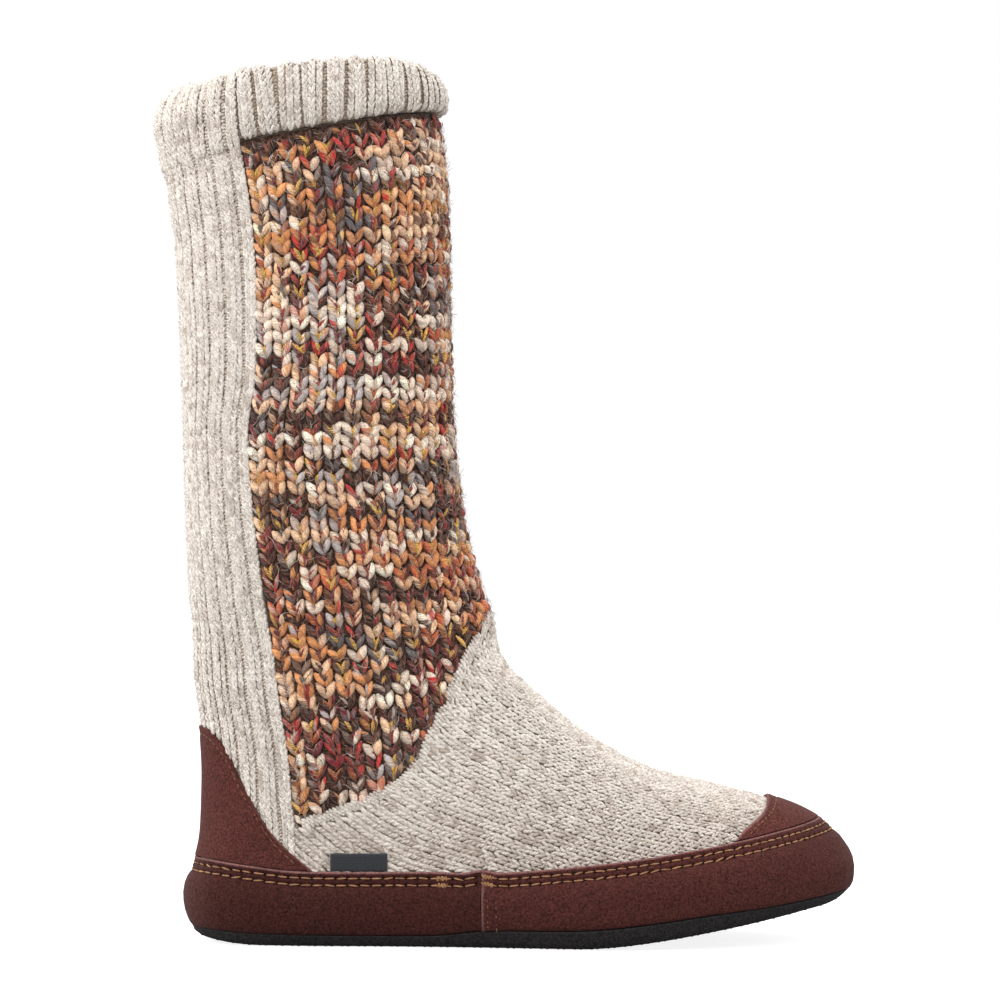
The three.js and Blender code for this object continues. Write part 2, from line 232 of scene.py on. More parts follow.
def smooth(line, steps=8):
    """A curve through the points of a side-view line."""
    return through(line, np.linspace(0, len(line) - 1, (len(line) - 1) * steps + 1))


RUBBER_THINNER = 2.3  # how much of the rubber's edge the foxing hides near the toe
HEIGHT_LINES = {
    name: smooth(np.column_stack((np.array(HEIGHTS_X) * FOOT_LENGTH / 100, heights)))
    for name, heights in HEIGHTS.items()
}


def height_at(name, x):
    line = HEIGHT_LINES[name]
    height = np.maximum(np.interp(x, line[:, 0], line[:, 1]), 0)
    if name == "sole":
        height = height - RUBBER_THINNER * np.exp(-(((x / FOOT_LENGTH - 0.93) / 0.13) ** 2))
    return height


def signed_power(value, exponent):
    return np.sign(value) * np.abs(value) ** exponent


def on_form(row, turn):
    """Points of the knit's outer face: "row" along the sections, "turn" round one. Turn 0 is the low
    point, 0.25 the inner side, 0.5 the high point and 0.75 the outer side."""
    row, turn = np.broadcast_arrays(np.asarray(row, float), np.asarray(turn, float))
    at = {name: through(SECTIONS[name], row) for name in COLUMNS}
    upward = -np.cos(2 * np.pi * turn)
    sideways = np.sin(2 * np.pi * turn)
    exponent = 2 / np.where(upward < 0, at["low"], at["high"])
    reach = np.where(upward < 0, at["belly"], 1 - at["belly"])
    share = at["belly"] + reach * signed_power(upward, exponent)
    x = lerp(at["low_x"], at["high_x"], share)
    z = lerp(at["low_z"], at["high_z"], share)
    y = at["mid"] + at["half"] * signed_power(sideways, exponent)
    return np.stack((x, y, z), -1)


def normal_on_form(row, turn):
    row, step = np.asarray(row, float), 1e-3
    along = on_form(np.minimum(row + step, LAST_ROW), turn) - on_form(np.maximum(row - step, 0), turn)
    across = on_form(row, turn + step) - on_form(row, turn - step)
    return unit(np.cross(along, across))


def flattened(normals):
    """Level outward directions."""
    return unit(normals * (1, 1, 0))


def relief(points):
    """How far the creases push the knit in or out."""
    points = np.asarray(points, float)
    total = np.zeros(points.shape[:-1])
    for start, end, width, depth, side in CREASES:
        away = distance_to_line(side_view(points), np.array((start, end), float))
        amount = depth * np.exp(-((away / width) ** 2))
        if side:
            amount = amount * ease(points[..., 1] * side / 12 + 0.5)
        total += amount
    return total


def distance_to_line(flat, line):
    """Distance in side view from points to an open line."""
    best = np.full(flat.shape[:-1], np.inf)
    for start, end in zip(line[:-1], line[1:]):
        run = end - start
        t = np.clip(((flat - start) @ run) / max(run @ run, 1e-12), 0, 1)
        best = np.minimum(best, np.linalg.norm(flat - start - t[..., None] * run, axis=-1))
    return best


def above_line(points, line):
    """Signed distance in side view above a line that runs forward."""
    flat = side_view(points)
    sign = np.sign(flat[..., 1] - np.interp(flat[..., 0], line[:, 0], line[:, 1]))
    return sign * distance_to_line(flat, line)


def inside_outline(points, outline):
    """Signed distance in side view into a closed outline."""
    flat = side_view(points)
    closed = np.vstack((outline, outline[:1]))
    inside = np.zeros(flat.shape[:-1], bool)
    for (x0, z0), (x1, z1) in zip(closed[:-1], closed[1:]):
        spans = (z0 > flat[..., 1]) != (z1 > flat[..., 1])
        crossing = x0 + (flat[..., 1] - z0) * (x1 - x0) / (z1 - z0 if z1 != z0 else 1e-9)
        inside ^= spans & (flat[..., 0] < crossing)
    return np.where(inside, 1, -1) * distance_to_line(flat, closed)


_foot_x = np.linspace(-15, 262, 140)
BAND_TOP, SOLE_TOP = (np.column_stack((_foot_x, height_at(name, _foot_x))) for name in ("band", "sole"))
PANEL_OUTLINE = np.vstack((smooth(PANEL_SEAM), smooth(PANEL_HEM), [(PANEL_HEM[-1][0], 330)]))
SEAM_LINE = smooth(PANEL_SEAM)
COUNTER_LINE = smooth(COUNTER_EDGE)
TOE_CAP_LINE = smooth(TOE_CAP_EDGE)
_collar = {name: SECTIONS[name][COLLAR_ROW] for name in COLUMNS}
COLLAR_SLOPE = float((_collar["high_z"] - _collar["low_z"]) / (_collar["high_x"] - _collar["low_x"]))


def collar_height(x):
    return _collar["low_z"] + (x - _collar["low_x"]) * COLLAR_SLOPE


def seam_x(z):
    """X of the panel's seam with the ribbed back, at a height."""
    return np.interp(z, SEAM_LINE[::-1, 1], SEAM_LINE[::-1, 0])


def sheet(rows, turns):
    """Grid of points of the creased form, with its normals."""
    points = on_form(rows[:, None], turns[None, :])
    normals = normal_on_form(rows[:, None], turns[None, :])
    return points + normals * relief(points)[..., None], normals


class Skin:
    """The knit's outer face as one fine mesh, to find the nearest point of or to shoot rays at."""

    rows_per_section = 8
    around = 144

    def __init__(self):
        rows = np.linspace(0, LAST_ROW, LAST_ROW * self.rows_per_section + 1)
        points, normals = sheet(rows, np.arange(self.around) / self.around)
        count = len(rows)
        tip = (FOOT_LENGTH, SECTIONS["mid"][0], TOE_HEIGHT)
        lid = points[-1].mean(0)
        self.points = np.vstack((points.reshape(-1, 3), (tip, lid)))
        self.normals = np.vstack((normals.reshape(-1, 3), ((1, 0, 0), (0, 0, 1))))
        index = np.arange(count * self.around).reshape(count, self.around)
        after = np.roll(index, -1, axis=1)
        walls = np.stack((index[:-1], index[1:], after[1:], after[:-1]), -1).reshape(-1, 4)
        toe, top = len(self.points) - 2, len(self.points) - 1
        self.faces = walls.tolist()
        self.faces += [(toe, int(a), int(b)) for a, b in zip(index[0], after[0])]
        self.faces += [(top, int(b), int(a)) for a, b in zip(index[-1], after[-1])]
        self.tree = BVHTree.FromPolygons(self.points.tolist(), self.faces)

    def _smooth_normal(self, spot, face):
        corners = list(self.faces[face])
        near = 1 / (((self.points[corners] - spot) ** 2).sum(1) + 0.01)
        return unit(near @ self.normals[corners])

    def nearest(self, points):
        """Nearest points of the skin and its smooth normals there."""
        found, normals = [], []
        for point in np.asarray(points, float).reshape(-1, 3):
            spot, _, face, _ = self.tree.find_nearest(Vector(point))
            found.append(np.array(spot))
            normals.append(self._smooth_normal(found[-1], face))
        return np.array(found), np.array(normals)

    def hit(self, start, direction):
        """Where a ray meets the skin, with its smooth normal."""
        spot, _, face, _ = self.tree.ray_cast(Vector(start), Vector(direction))
        spot = np.array(spot)
        return spot, self._smooth_normal(spot, face)


SKIN = Skin()

# ---- settings --------------------------------------------------------------------------------------


def srgb(red, green, blue):
    """A colour named in 0 to 255 as the linear values that the shaders take."""
    parts = np.array((red, green, blue)) / 255
    return tuple(np.where(parts <= 0.04045, parts / 12.92, ((parts + 0.055) / 1.055) ** 2.4))


def colour(label, text, shade):
    return FloatVectorProperty(
        name=label, description=text, default=srgb(*shade), subtype="COLOR", size=3, min=0, max=1
    )


def length(label, text, millimetres):
    return FloatProperty(name=label, description=text, default=millimetres * MM, unit="LENGTH", min=0)


def tally(label, text, default, least):
    return IntProperty(name=label, description=text, default=default, min=least)


class SlouchBootKnit(bpy.types.PropertyGroup):
    """Sizes of the knitted fabrics."""

    chunky_wales: tally("Chunky wales", "Columns of stitches in the heavy panel, seam to seam", 27, 9)
    chunky_row: length("Chunky row", "Height of one row of the heavy panel", 4.4)
    chunky_leg: length("Chunky leg", "Length of one leg of a heavy stitch", 6.5)
    chunky_thick: length("Chunky yarn", "Thickness of the heavy yarn", 3.05)
    vamp_wale: length("Foot wale", "Width of one stitch on the foot", 3.4)
    vamp_row: length("Foot row", "Height of one row on the foot", 2.45)
    rib_row: length("Rib row", "Height of one row of the ribbed back", 2.5)
    fine_thick: length("Fine yarn", "Thickness of the foot's oatmeal yarn", 1.5)
    cuff_ribs: tally("Cuff ribs", "Ribs of the cuff round the front of the leg", 24, 6)


class SlouchBootTrim(bpy.types.PropertyGroup):
    """Sizes of the sewn trim."""

    stitch_pitch: length("Foxing stitch", "From one stitch to the next along the foxing", 4.2)
    stitch_length: length("Stitch length", "Length that shows of one foxing stitch", 2.8)
    thread_thick: length("Thread", "Thickness of the topstitching thread", 0.6)
    first_row: length("First row", "From the foxing's top edge to its first row of stitches", 2.4)
    second_row: length("Second row", "From the foxing's top edge to its second row of stitches", 5.0)


class SlouchBootColours(bpy.types.PropertyGroup):
    """Colours of the yarns, suede, rubber and thread."""

    oatmeal: colour("Oatmeal", "Light ply of the marl yarn", (236, 228, 219))
    fleck: colour("Fleck", "Brown and grey ply of the marl yarn", (149, 129, 113))
    hollow: colour("Hollow", "Shade between the stitches", (160, 144, 127))
    suede: colour("Suede", "Nap of the foxing, toe cap and heel counter", (88, 47, 42))
    raw_edge: colour("Raw edge", "Cut edge of the suede", (150, 108, 104))
    thread: colour("Thread", "Topstitching thread", (180, 134, 96))
    rubber: colour("Rubber", "Outsole", (20, 15, 15))
    fleece: colour("Fleece", "Footbed", (216, 207, 192))
    label: colour("Label", "Woven tab", (43, 46, 50))


# ---- meshes ----------------------------------------------------------------------------------------


def new_object(name, data):
    """An object in the scene."""
    made = bpy.data.objects.new(name, data)
    bpy.context.scene.collection.objects.link(made)
    return made


def add_piece(name, mesh, replaces=()):
    """A piece of the boot from a mesh that is already in its place."""
    piece = new_object(name, mesh)
    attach(piece, BODY)
    if replaces:
        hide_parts(*replaces)


ATTRIBUTE_FIELDS = {
    "FLOAT": ("value", np.float32),
    "INT": ("value", np.int32),
    "FLOAT_VECTOR": ("vector", np.float32),
    "FLOAT_COLOR": ("color", np.float32),
}


def store(mesh, label, kind, values, domain="POINT"):
    """Keeps values as a named attribute of a mesh."""
    field, number = ATTRIBUTE_FIELDS[kind]
    mesh.attributes.new(label, kind, domain).data.foreach_set(field, np.asarray(values, number).ravel())


def solid_mesh(name, points, faces, material, **attributes):
    """A smooth closed mesh in the frame, with one number a point for each named attribute."""
    mesh = bpy.data.meshes.new(name)
    mesh.from_pydata(place(points).tolist(), [], [tuple(int(i) for i in face) for face in faces])
    mesh.polygons.foreach_set("use_smooth", np.ones(len(mesh.polygons), bool))
    mesh.materials.append(material)
    for label, values in attributes.items():
        store(mesh, label, "FLOAT", values)
    mesh.validate()
    return mesh


def tube_faces(count, across, closed):
    """Faces of a tube of "count" rings with "across" points each, wrapped on itself or left open."""
    index = np.arange(count * across).reshape(count, across)
    following = np.roll(index, -1, axis=0) if closed else index[1:]
    index = index if closed else index[:-1]
    shifted, shifted_following = np.roll(index, -1, axis=1), np.roll(following, -1, axis=1)
    return np.stack((index, following, shifted_following, shifted), -1).reshape(-1, 4).tolist()


def round_edge(distance, radius):
    """Quarter-round rise from 0 at an edge to 1 at "radius" from it."""
    t = 1 - np.clip(distance / radius, 0, 1)
    return np.sqrt(np.clip(1 - t * t, 0, 1))


def grid_bmesh(points, normals, closed):
    """A bmesh of a grid of points that keeps each point's normal through later cuts."""
    bm = bmesh.new()
    layer = bm.verts.layers.float_vector.new("normal")
    rows, columns = points.shape[:2]
    verts = []
    for point, normal in zip(points.reshape(-1, 3), normals.reshape(-1, 3)):
        verts.append(bm.verts.new(point))
        verts[-1][layer] = normal
    for r in range(rows - 1):
        for c in range(columns if closed else columns - 1):
            a, b = r * columns + c, r * columns + (c + 1) % columns
            bm.faces.new((verts[a], verts[a + columns], verts[b + columns], verts[b]))
    return bm


def cut(bm, field, levels=(0.0,)):
    """Cuts the faces where "field" equals each level, then drops what lies below the first level."""

    def values_over(level):
        bm.verts.index_update()
        return field(np.array([v.co for v in bm.verts])) - level

    for level in levels:
        values = values_over(level)
        fresh = []
        for edge in list(bm.edges):
            a, b = (values[v.index] for v in edge.verts)
            if a * b < 0 and abs(a) > 1e-6 and abs(b) > 1e-6:
                _, vert = bmesh.utils.edge_split(edge, edge.verts[0], a / (a - b))
                fresh.append(vert)
        bmesh.ops.connect_verts(bm, verts=fresh)
    values = values_over(levels[0])
    outside = [f for f in bm.faces if sum(values[v.index] for v in f.verts) < 0]
    bmesh.ops.delete(bm, geom=outside, context="FACES")


def shell_from(bm, outer, inner):
    """Points and faces of the closed shell between two heights over a cut sheet. The outer height is a
    number or a function of the sheet's points."""
    layer = bm.verts.layers.float_vector["normal"]
    bmesh.ops.remove_doubles(bm, verts=bm.verts, dist=0.01)
    bm.verts.index_update()
    points = np.array([v.co for v in bm.verts])
    normals = unit(np.array([v[layer] for v in bm.verts]))
    faces = [[v.index for v in f.verts] for f in bm.faces]
    rim = [
        (loop.vert.index, loop.link_loop_next.vert.index)
        for edge in bm.edges
        if len(edge.link_loops) == 1
        for loop in edge.link_loops
    ]
    bm.free()
    count = len(points)
    outside = outer(points) if callable(outer) else np.full(count, float(outer))
    both = np.vstack((points + normals * outside[:, None], points + normals * inner))
    faces += [[i + count for i in reversed(face)] for face in faces]
    faces += [(b, a, a + count, b + count) for a, b in rim]
    return both, faces


# ---- yarn by Geometry Nodes --------------------------------------------------------------------------


def add(tree, kind, inputs=None, **settings):
    """Adds a node. An input is linked where its value is another node's output, and set otherwise."""
    node = tree.nodes.new(kind)
    for key, value in settings.items():
        setattr(node, key, value)
    for key, value in (inputs or {}).items():
        socket = node.inputs[key]
        if isinstance(value, bpy.types.NodeSocket):
            tree.links.new(value, socket)
        else:
            socket.default_value = value
    return node


FLOAT, GEOMETRY, MATERIAL = "NodeSocketFloat", "NodeSocketGeometry", "NodeSocketMaterial"
SOCKETS = {float: FLOAT, int: "NodeSocketInt"}


def new_tree(name, kind, inputs, outputs, output_kind=FLOAT):
    """A node group with its inputs by name and default, and its outputs by name. A text in place of a
    default is the kind of a socket that has none."""
    tree = bpy.data.node_groups.new(name, kind)
    for label, default in inputs.items():
        socket = SOCKETS.get(type(default), default)
        made = tree.interface.new_socket(label, in_out="INPUT", socket_type=socket)
        if socket != default:
            made.default_value = default
    for label in outputs:
        tree.interface.new_socket(label, in_out="OUTPUT", socket_type=output_kind)
    return tree, tree.nodes.new("NodeGroupInput").outputs, tree.nodes.new("NodeGroupOutput").inputs


def maths(tree, operation, a, b=0.0):
    return add(tree, "ShaderNodeMath", {0: a, 1: b}, operation=operation).outputs[0]


def times(tree, a, b):
    return maths(tree, "MULTIPLY", a, b)


def plus(tree, a, b):
    return maths(tree, "ADD", a, b)


def kept_factor(tree, curve, label):
    """A curve that keeps how far along it each point lies as a named attribute, and that factor."""
    factor = tree.nodes.new("GeometryNodeSplineParameter").outputs["Factor"]
    stored = add(
        tree, "GeometryNodeStoreNamedAttribute", {"Geometry": curve, "Name": label, "Value": factor},
        data_type="FLOAT", domain="POINT",
    )
    return stored.outputs[0], factor


def named(tree, label, kind):
    node = add(tree, "GeometryNodeInputNamedAttribute", {"Name": label}, data_type=kind)
    return node.outputs["Attribute"]


SWELL_POWER = 0.6  # how soon a length of yarn swells from its tips to its full thickness


def yarn_tree():
    """Puts one arched, tapered length of yarn on every point, turned to the point's "along" and "out"
    and scaled by its "size"; its "hand" picks which way it bows."""
    inputs = {
        "Geometry": GEOMETRY, "Length": 0.005, "Thickness": 0.002, "Bow": 0.0, "Arch": 0.0005, "Tip": 0.35,
        "Sides": 4, "Segments": 3, "Material": MATERIAL,
    }
    tree, given, made = new_tree("Lengths of yarn", "GeometryNodeTree", inputs, ("Geometry",), GEOMETRY)
    half = times(tree, given["Length"], 0.5)
    back = times(tree, half, -1.0)
    sink = times(tree, given["Arch"], -1.0)
    start = add(tree, "ShaderNodeCombineXYZ", {"Y": back, "Z": sink}).outputs[0]
    end = add(tree, "ShaderNodeCombineXYZ", {"Y": half, "Z": sink}).outputs[0]
    radius = times(tree, given["Thickness"], 0.5)
    circle = {"Resolution": given["Sides"], "Radius": radius}
    profile = add(tree, "GeometryNodeCurvePrimitiveCircle", circle).outputs[0]
    profile, _ = kept_factor(tree, profile, "around")
    shapes = add(tree, "GeometryNodeJoinGeometry")
    for hand in (1.0, -1.0):
        aside = times(tree, given["Bow"], hand)
        middle = add(tree, "ShaderNodeCombineXYZ", {"X": aside, "Z": given["Arch"]}).outputs[0]
        ends = {"Resolution": 12, "Start": start, "Middle": middle, "End": end}
        line = add(tree, "GeometryNodeCurveQuadraticBezier", ends).outputs[0]
        count = plus(tree, given["Segments"], 1.0)
        line = add(tree, "GeometryNodeResampleCurve", {"Curve": line, "Count": count}).outputs[0]
        line, factor = kept_factor(tree, line, "lengthwise")
        swell = maths(tree, "SINE", times(tree, factor, math.pi))
        swell = maths(tree, "POWER", maths(tree, "MAXIMUM", swell, 0.0), SWELL_POWER)
        full = maths(tree, "SUBTRACT", 1.0, given["Tip"])
        taper = plus(tree, given["Tip"], times(tree, swell, full))
        swept = {"Curve": line, "Profile Curve": profile, "Scale": taper, "Fill Caps": True}
        strand = add(tree, "GeometryNodeCurveToMesh", swept).outputs[0]
        strand = add(tree, "GeometryNodeSetShadeSmooth", {"Geometry": strand}).outputs[0]
        wrapped = add(tree, "GeometryNodeGeometryToInstance", {"Geometry": strand}).outputs[0]
        tree.links.new(wrapped, shapes.inputs[0])
    axes = {0: named(tree, "along", "FLOAT_VECTOR"), 1: named(tree, "out", "FLOAT_VECTOR")}
    turned = add(tree, "FunctionNodeAxesToRotation", axes, primary_axis="Y", secondary_axis="Z").outputs[0]
    spread = {
        "Points": given["Geometry"], "Instance": shapes.outputs[0], "Pick Instance": True,
        "Instance Index": named(tree, "hand", "INT"), "Rotation": turned,
        "Scale": named(tree, "size", "FLOAT_VECTOR"),
    }
    real = add(tree, "GeometryNodeInstanceOnPoints", spread).outputs[0]
    real = add(tree, "GeometryNodeRealizeInstances", {"Geometry": real}).outputs[0]
    finished = add(tree, "GeometryNodeSetMaterial", {"Geometry": real, "Material": given["Material"]})
    tree.links.new(finished.outputs[0], made["Geometry"])
    return tree


def shared_tree(name, maker):
    """A node group by name, built on its first use."""
    return bpy.data.node_groups.get(name) or maker()


class Chart:
    """Points to put yarn on, gathered in lots: place, direction, facing, size, hand and two colours."""

    columns = {"at": (3,), "along": (3,), "out": (3,), "size": (3,), "hand": (), "tint": (3,), "ply": (3,)}

    def __init__(self):
        self.lots = {name: [] for name in self.columns}

    def put(self, at, along, out, size, hand=0, tint=(1, 1, 1), ply=(1, 1, 1)):
        values = (at, along, out, size, hand, tint, ply)
        for (name, wide), value in zip(self.columns.items(), values):
            self.lots[name].append(np.broadcast_to(np.asarray(value, float), (len(at), *wide)))

    def all(self, name):
        return np.concatenate(self.lots[name])


def grow(name, chart, material, slot, **shape):
    """A piece of yarn lengths grown on a chart. "shape" holds the tree's other inputs by name."""
    at = place(chart.all("at"))
    mesh = bpy.data.meshes.new(name + "_chart")
    mesh.from_pydata(at.tolist(), [], [])
    for label in ("along", "out", "size"):
        store(mesh, label, "FLOAT_VECTOR", chart.all(label))
    for label in ("tint", "ply"):
        store(mesh, label, "FLOAT_COLOR", np.column_stack((chart.all(label), np.ones(len(at)))))
    store(mesh, "hand", "INT", chart.all("hand"))
    store(mesh, "number", "INT", np.arange(len(at)))
    points = new_object(name + "_chart", mesh)
    modifier = points.modifiers.new("Yarn", "NODES")
    modifier.node_group = shared_tree("Lengths of yarn", yarn_tree)
    sockets = {item.name: item.identifier for item in modifier.node_group.interface.items_tree}
    for label, value in {**shape, "Material": material}.items():
        modifier[sockets[label]] = value
    graph = bpy.context.evaluated_depsgraph_get()
    grown = bpy.data.meshes.new_from_object(
        points.evaluated_get(graph), preserve_all_data_layers=True, depsgraph=graph
    )
    bpy.data.objects.remove(points)
    bpy.data.meshes.remove(mesh)
    grown.name = name
    lay_out(grown, len(at))
    add_piece(name, grown)


def read(collection, field, kind):
    """One number of every item of a mesh's collection."""
    values = np.empty(len(collection), kind)
    collection.foreach_get(field, values)
    return values


GOLDEN_SHARE = 0.6180339887  # spreads the yarns' own numbers evenly between 0 and 1


def lay_out(mesh, count):
    """Gives every length of yarn a cell of its own in the piece's map, and keeps where each corner lies
    round and along its yarn."""
    corner_point = read(mesh.loops, "vertex_index", np.int32)
    around, along, number = (
        read(mesh.attributes[label].data, "value", kind)[corner_point]
        for label, kind in (("around", np.float32), ("lengthwise", np.float32), ("number", np.int32))
    )
    start = read(mesh.polygons, "loop_start", np.int32)
    total = read(mesh.polygons, "loop_total", np.int32)
    face = np.repeat(np.arange(len(start)), total)
    reach = np.maximum.reduceat(around, start) - np.minimum.reduceat(around, start)
    around = around + ((reach[face] > 0.5) & (around < 0.25) & (total[face] == 4))
    cap = (np.maximum.reduceat(along, start) - np.minimum.reduceat(along, start) < 1e-4)[face]
    ring = np.column_stack((np.cos(around * 2 * np.pi), np.sin(around * 2 * np.pi)))
    cell_u = np.where(cap, 0.85 + 0.1 * ring[:, 0], 0.04 + 0.68 * around)
    cell_v = np.where(cap, np.where(along > 0.5, 0.75, 0.25) + 0.1 * ring[:, 1], 0.05 + 0.9 * along)
    side = math.ceil(math.sqrt(count))
    uv = np.column_stack(((number % side + cell_u) / side, (number // side + cell_v) / side))
    mesh.uv_layers.new(name="OFBake").uv.foreach_set("vector", uv.astype(np.float32).ravel())
    own = np.modf(number * GOLDEN_SHARE)[0]
    store(mesh, "strand", "FLOAT_VECTOR", np.column_stack((around, along, own)), "CORNER")
    for label in ("around", "lengthwise", "number", "along", "out", "size", "hand"):
        mesh.attributes.remove(mesh.attributes[label])


# ---- charts -----------------------------------------------------------------------------------------


class LegContour:
    """Rings round the leg at a height, half by half, from the centre back to the centre front."""

    turns = 121
    rows_per_section = 8

    def __init__(self, side):
        half = np.linspace(0, 0.5, self.turns)
        self.turn = half if side > 0 else 1 - half
        count = (LAST_ROW - CLIMB_ROW) * self.rows_per_section + 1
        self.row = np.linspace(CLIMB_ROW, LAST_ROW, count)
        self.points, _ = sheet(self.row, self.turn)

    def ring(self, level, tilt, pivot):
        """Points, normals and running lengths where a plane cuts the form; the plane climbs forward by
        "tilt" and has the height "level" at X "pivot"."""
        over = self.points[..., 2] - tilt * (self.points[..., 0] - pivot) - level
        first = np.clip(np.argmax(over > 0, axis=0), 1, len(self.row) - 1)
        columns = np.arange(self.turns)
        before, after = over[first - 1, columns], over[first, columns]
        share = np.clip(-before / np.where(after != before, after - before, 1), 0, 1)
        row = lerp(self.row[first - 1], self.row[first], share)
        points = on_form(row, self.turn)
        normals = normal_on_form(row, self.turn)
        points = points + normals * relief(points)[:, None]
        return points, normals, run_along(points)


ROW_PIVOT = 60.0  # X about which the rows of the leg tilt into the collar's slope
BACK_RIBS = 6.63  # ribs of the back on one side, from a groove at the centre back to the panel's seam
RIB_COLUMNS = (0.0, 0.231, 0.5, 0.769)  # places in one rib of its purl column and its three plain ones
ANKLE_LEVEL = 142.0  # below this the panel no longer reaches the centre front


def row_tilt(level):
    return COLLAR_SLOPE * ease((level - 190) / 110)


def leg_rows(step):
    """Heights of the rows down the leg at ROW_PIVOT, from the collar to the foxing."""
    return np.arange(collar_height(ROW_PIVOT) - step, 24, -step)


def rib_columns(ribs):
    """Places, in ribs, of every column within a number of ribs, and its kind: 0 purl, 1 to 3 plain."""
    places = np.add.outer(np.arange(math.ceil(ribs)), RIB_COLUMNS).ravel()
    kinds = np.tile(np.arange(4), math.ceil(ribs))
    return places[places < ribs - 0.05], kinds[places < ribs - 0.05]


def leg_wales(side, levels, columns, part):
    """Grids (row, column) of places, downward directions and normals on one side of the leg. "columns"
    are shares of the way round the back, from its centre to the seam, or round the panel, from the seam
    to the centre front."""
    contour = LegContour(side)
    places, normals = [], []
    front_length = None
    for level in levels:
        points, facing, run = contour.ring(level, row_tilt(level), ROW_PIVOT)
        ahead = np.argmax(points[:, 0] > seam_x(points[:, 2]))
        gap = seam_x(points[:, 2]) - points[:, 0]
        share = gap[ahead - 1] / (gap[ahead - 1] - gap[ahead])
        seam_run = lerp(run[ahead - 1], run[ahead], share)
        if part == "back":
            at = seam_run * columns
        else:
            if level >= ANKLE_LEVEL or front_length is None:
                front_length = run[-1] - seam_run
            at = seam_run + front_length * columns
        at = np.minimum(at, run[-1])
        places.append(at_run(at, run, points))
        normals.append(unit(at_run(at, run, facing)))
    places, normals = np.array(places), np.array(normals)
    down = unit(np.gradient(places, axis=0))
    return places, down, normals


def resample(line, step):
    """Points at even steps along a line."""
    run = run_along(line)
    return at_run(np.arange(0, run[-1], step), run, line)


def foot_stretch(x):
    """How much wider than its usual width a stitch of the foot is: widest beside the heel."""
    return lerp(0.96, 1.36, ease((150 - x) / 100))[:, None]


def foot_wales(width, step):
    """Wales of the foot: the first runs down the middle of the instep to the toe, and each next one lies
    a stitch's width beside the last."""
    rows = np.linspace(LAST_ROW - 6.4, 0.4, 260)
    points, _ = sheet(rows, np.array([0.5]))
    middle = resample(points[:, 0], step)
    lines = []
    for side in (-1, 1):
        line = middle
        for number in range(46):
            spots, normals = SKIN.nearest(line)
            down = unit(np.gradient(spots, axis=0))
            if number or side < 0:
                lines.append((spots, down, normals))
            moved = spots + unit(np.cross(down, normals)) * -side * width * foot_stretch(spots[:, 0])
            moved, _ = SKIN.nearest(moved)
            if len(moved) > 6:
                moved[1:-1] = (moved[:-2] + 2 * moved[1:-1] + moved[2:]) / 4
            line = resample(moved, step)
            kept = (line[:, 2] > height_at("band", line[:, 0]) - 9) & (line[:, 0] > 34)
            if kept.sum() < 4:
                break
            first, last = np.flatnonzero(kept)[[0, -1]]
            line = line[first : last + 1]
    return lines


# ---- materials ---------------------------------------------------------------------------------------

BLACK, WHITE = (0, 0, 0), (1, 1, 1)


def ramp(tree, value, low, high):
    """A value stretched so that low becomes 0 and high becomes 1."""
    node = add(tree, "ShaderNodeMapRange", {"Value": value, "From Min": low, "From Max": high})
    return node.outputs["Result"]


def mixed(tree, factor, first, second, mode="MIX"):
    """Two colours mixed, or blended in another mode."""
    node = add(tree, "ShaderNodeMix", data_type="RGBA", blend_type=mode)
    sockets = {socket.identifier: socket for socket in (*node.inputs, *node.outputs)}
    for key, value in (("Factor_Float", factor), ("A_Color", first), ("B_Color", second)):
        if isinstance(value, bpy.types.NodeSocket):
            tree.links.new(value, sockets[key])
        else:
            sockets[key].default_value = value if key == "Factor_Float" else (*value, 1)
    return sockets["Result_Color"]


def shaded(tree, colours, shade):
    """Colours times a grey."""
    grey = add(tree, "ShaderNodeCombineColor", {0: shade, 1: shade, 2: shade}).outputs[0]
    return mixed(tree, 1.0, colours, grey, "MULTIPLY")


def noise_at(tree, where, scale, detail, **more):
    inputs = {"Vector": where, "Scale": scale, "Detail": detail, **more}
    return add(tree, "ShaderNodeTexNoise", inputs).outputs[0]


def own_place(tree):
    return add(tree, "ShaderNodeTexCoord").outputs["Object"]


def grain(tree, scale, detail=2.0):
    """Noise on the object's own coordinates, at a scale in bumps a metre."""
    return noise_at(tree, own_place(tree), scale, detail)


def painted(tree, label):
    return add(tree, "ShaderNodeAttribute", attribute_name=label).outputs


def strand_parts(tree, twist):
    """An angle that turns round and along a yarn, and the corner's parts: round, along, and the yarn's
    own number."""
    split = add(tree, "ShaderNodeSeparateXYZ", {0: painted(tree, "strand")["Vector"]}).outputs
    return plus(tree, split["X"], times(tree, split["Y"], twist)), split


def on_roll(tree, angle, far):
    """A place on a roll, so that a noise closes round the yarn."""
    parts = {0: maths(tree, "COSINE", angle), 1: maths(tree, "SINE", angle), 2: far}
    return add(tree, "ShaderNodeCombineXYZ", parts).outputs[0]


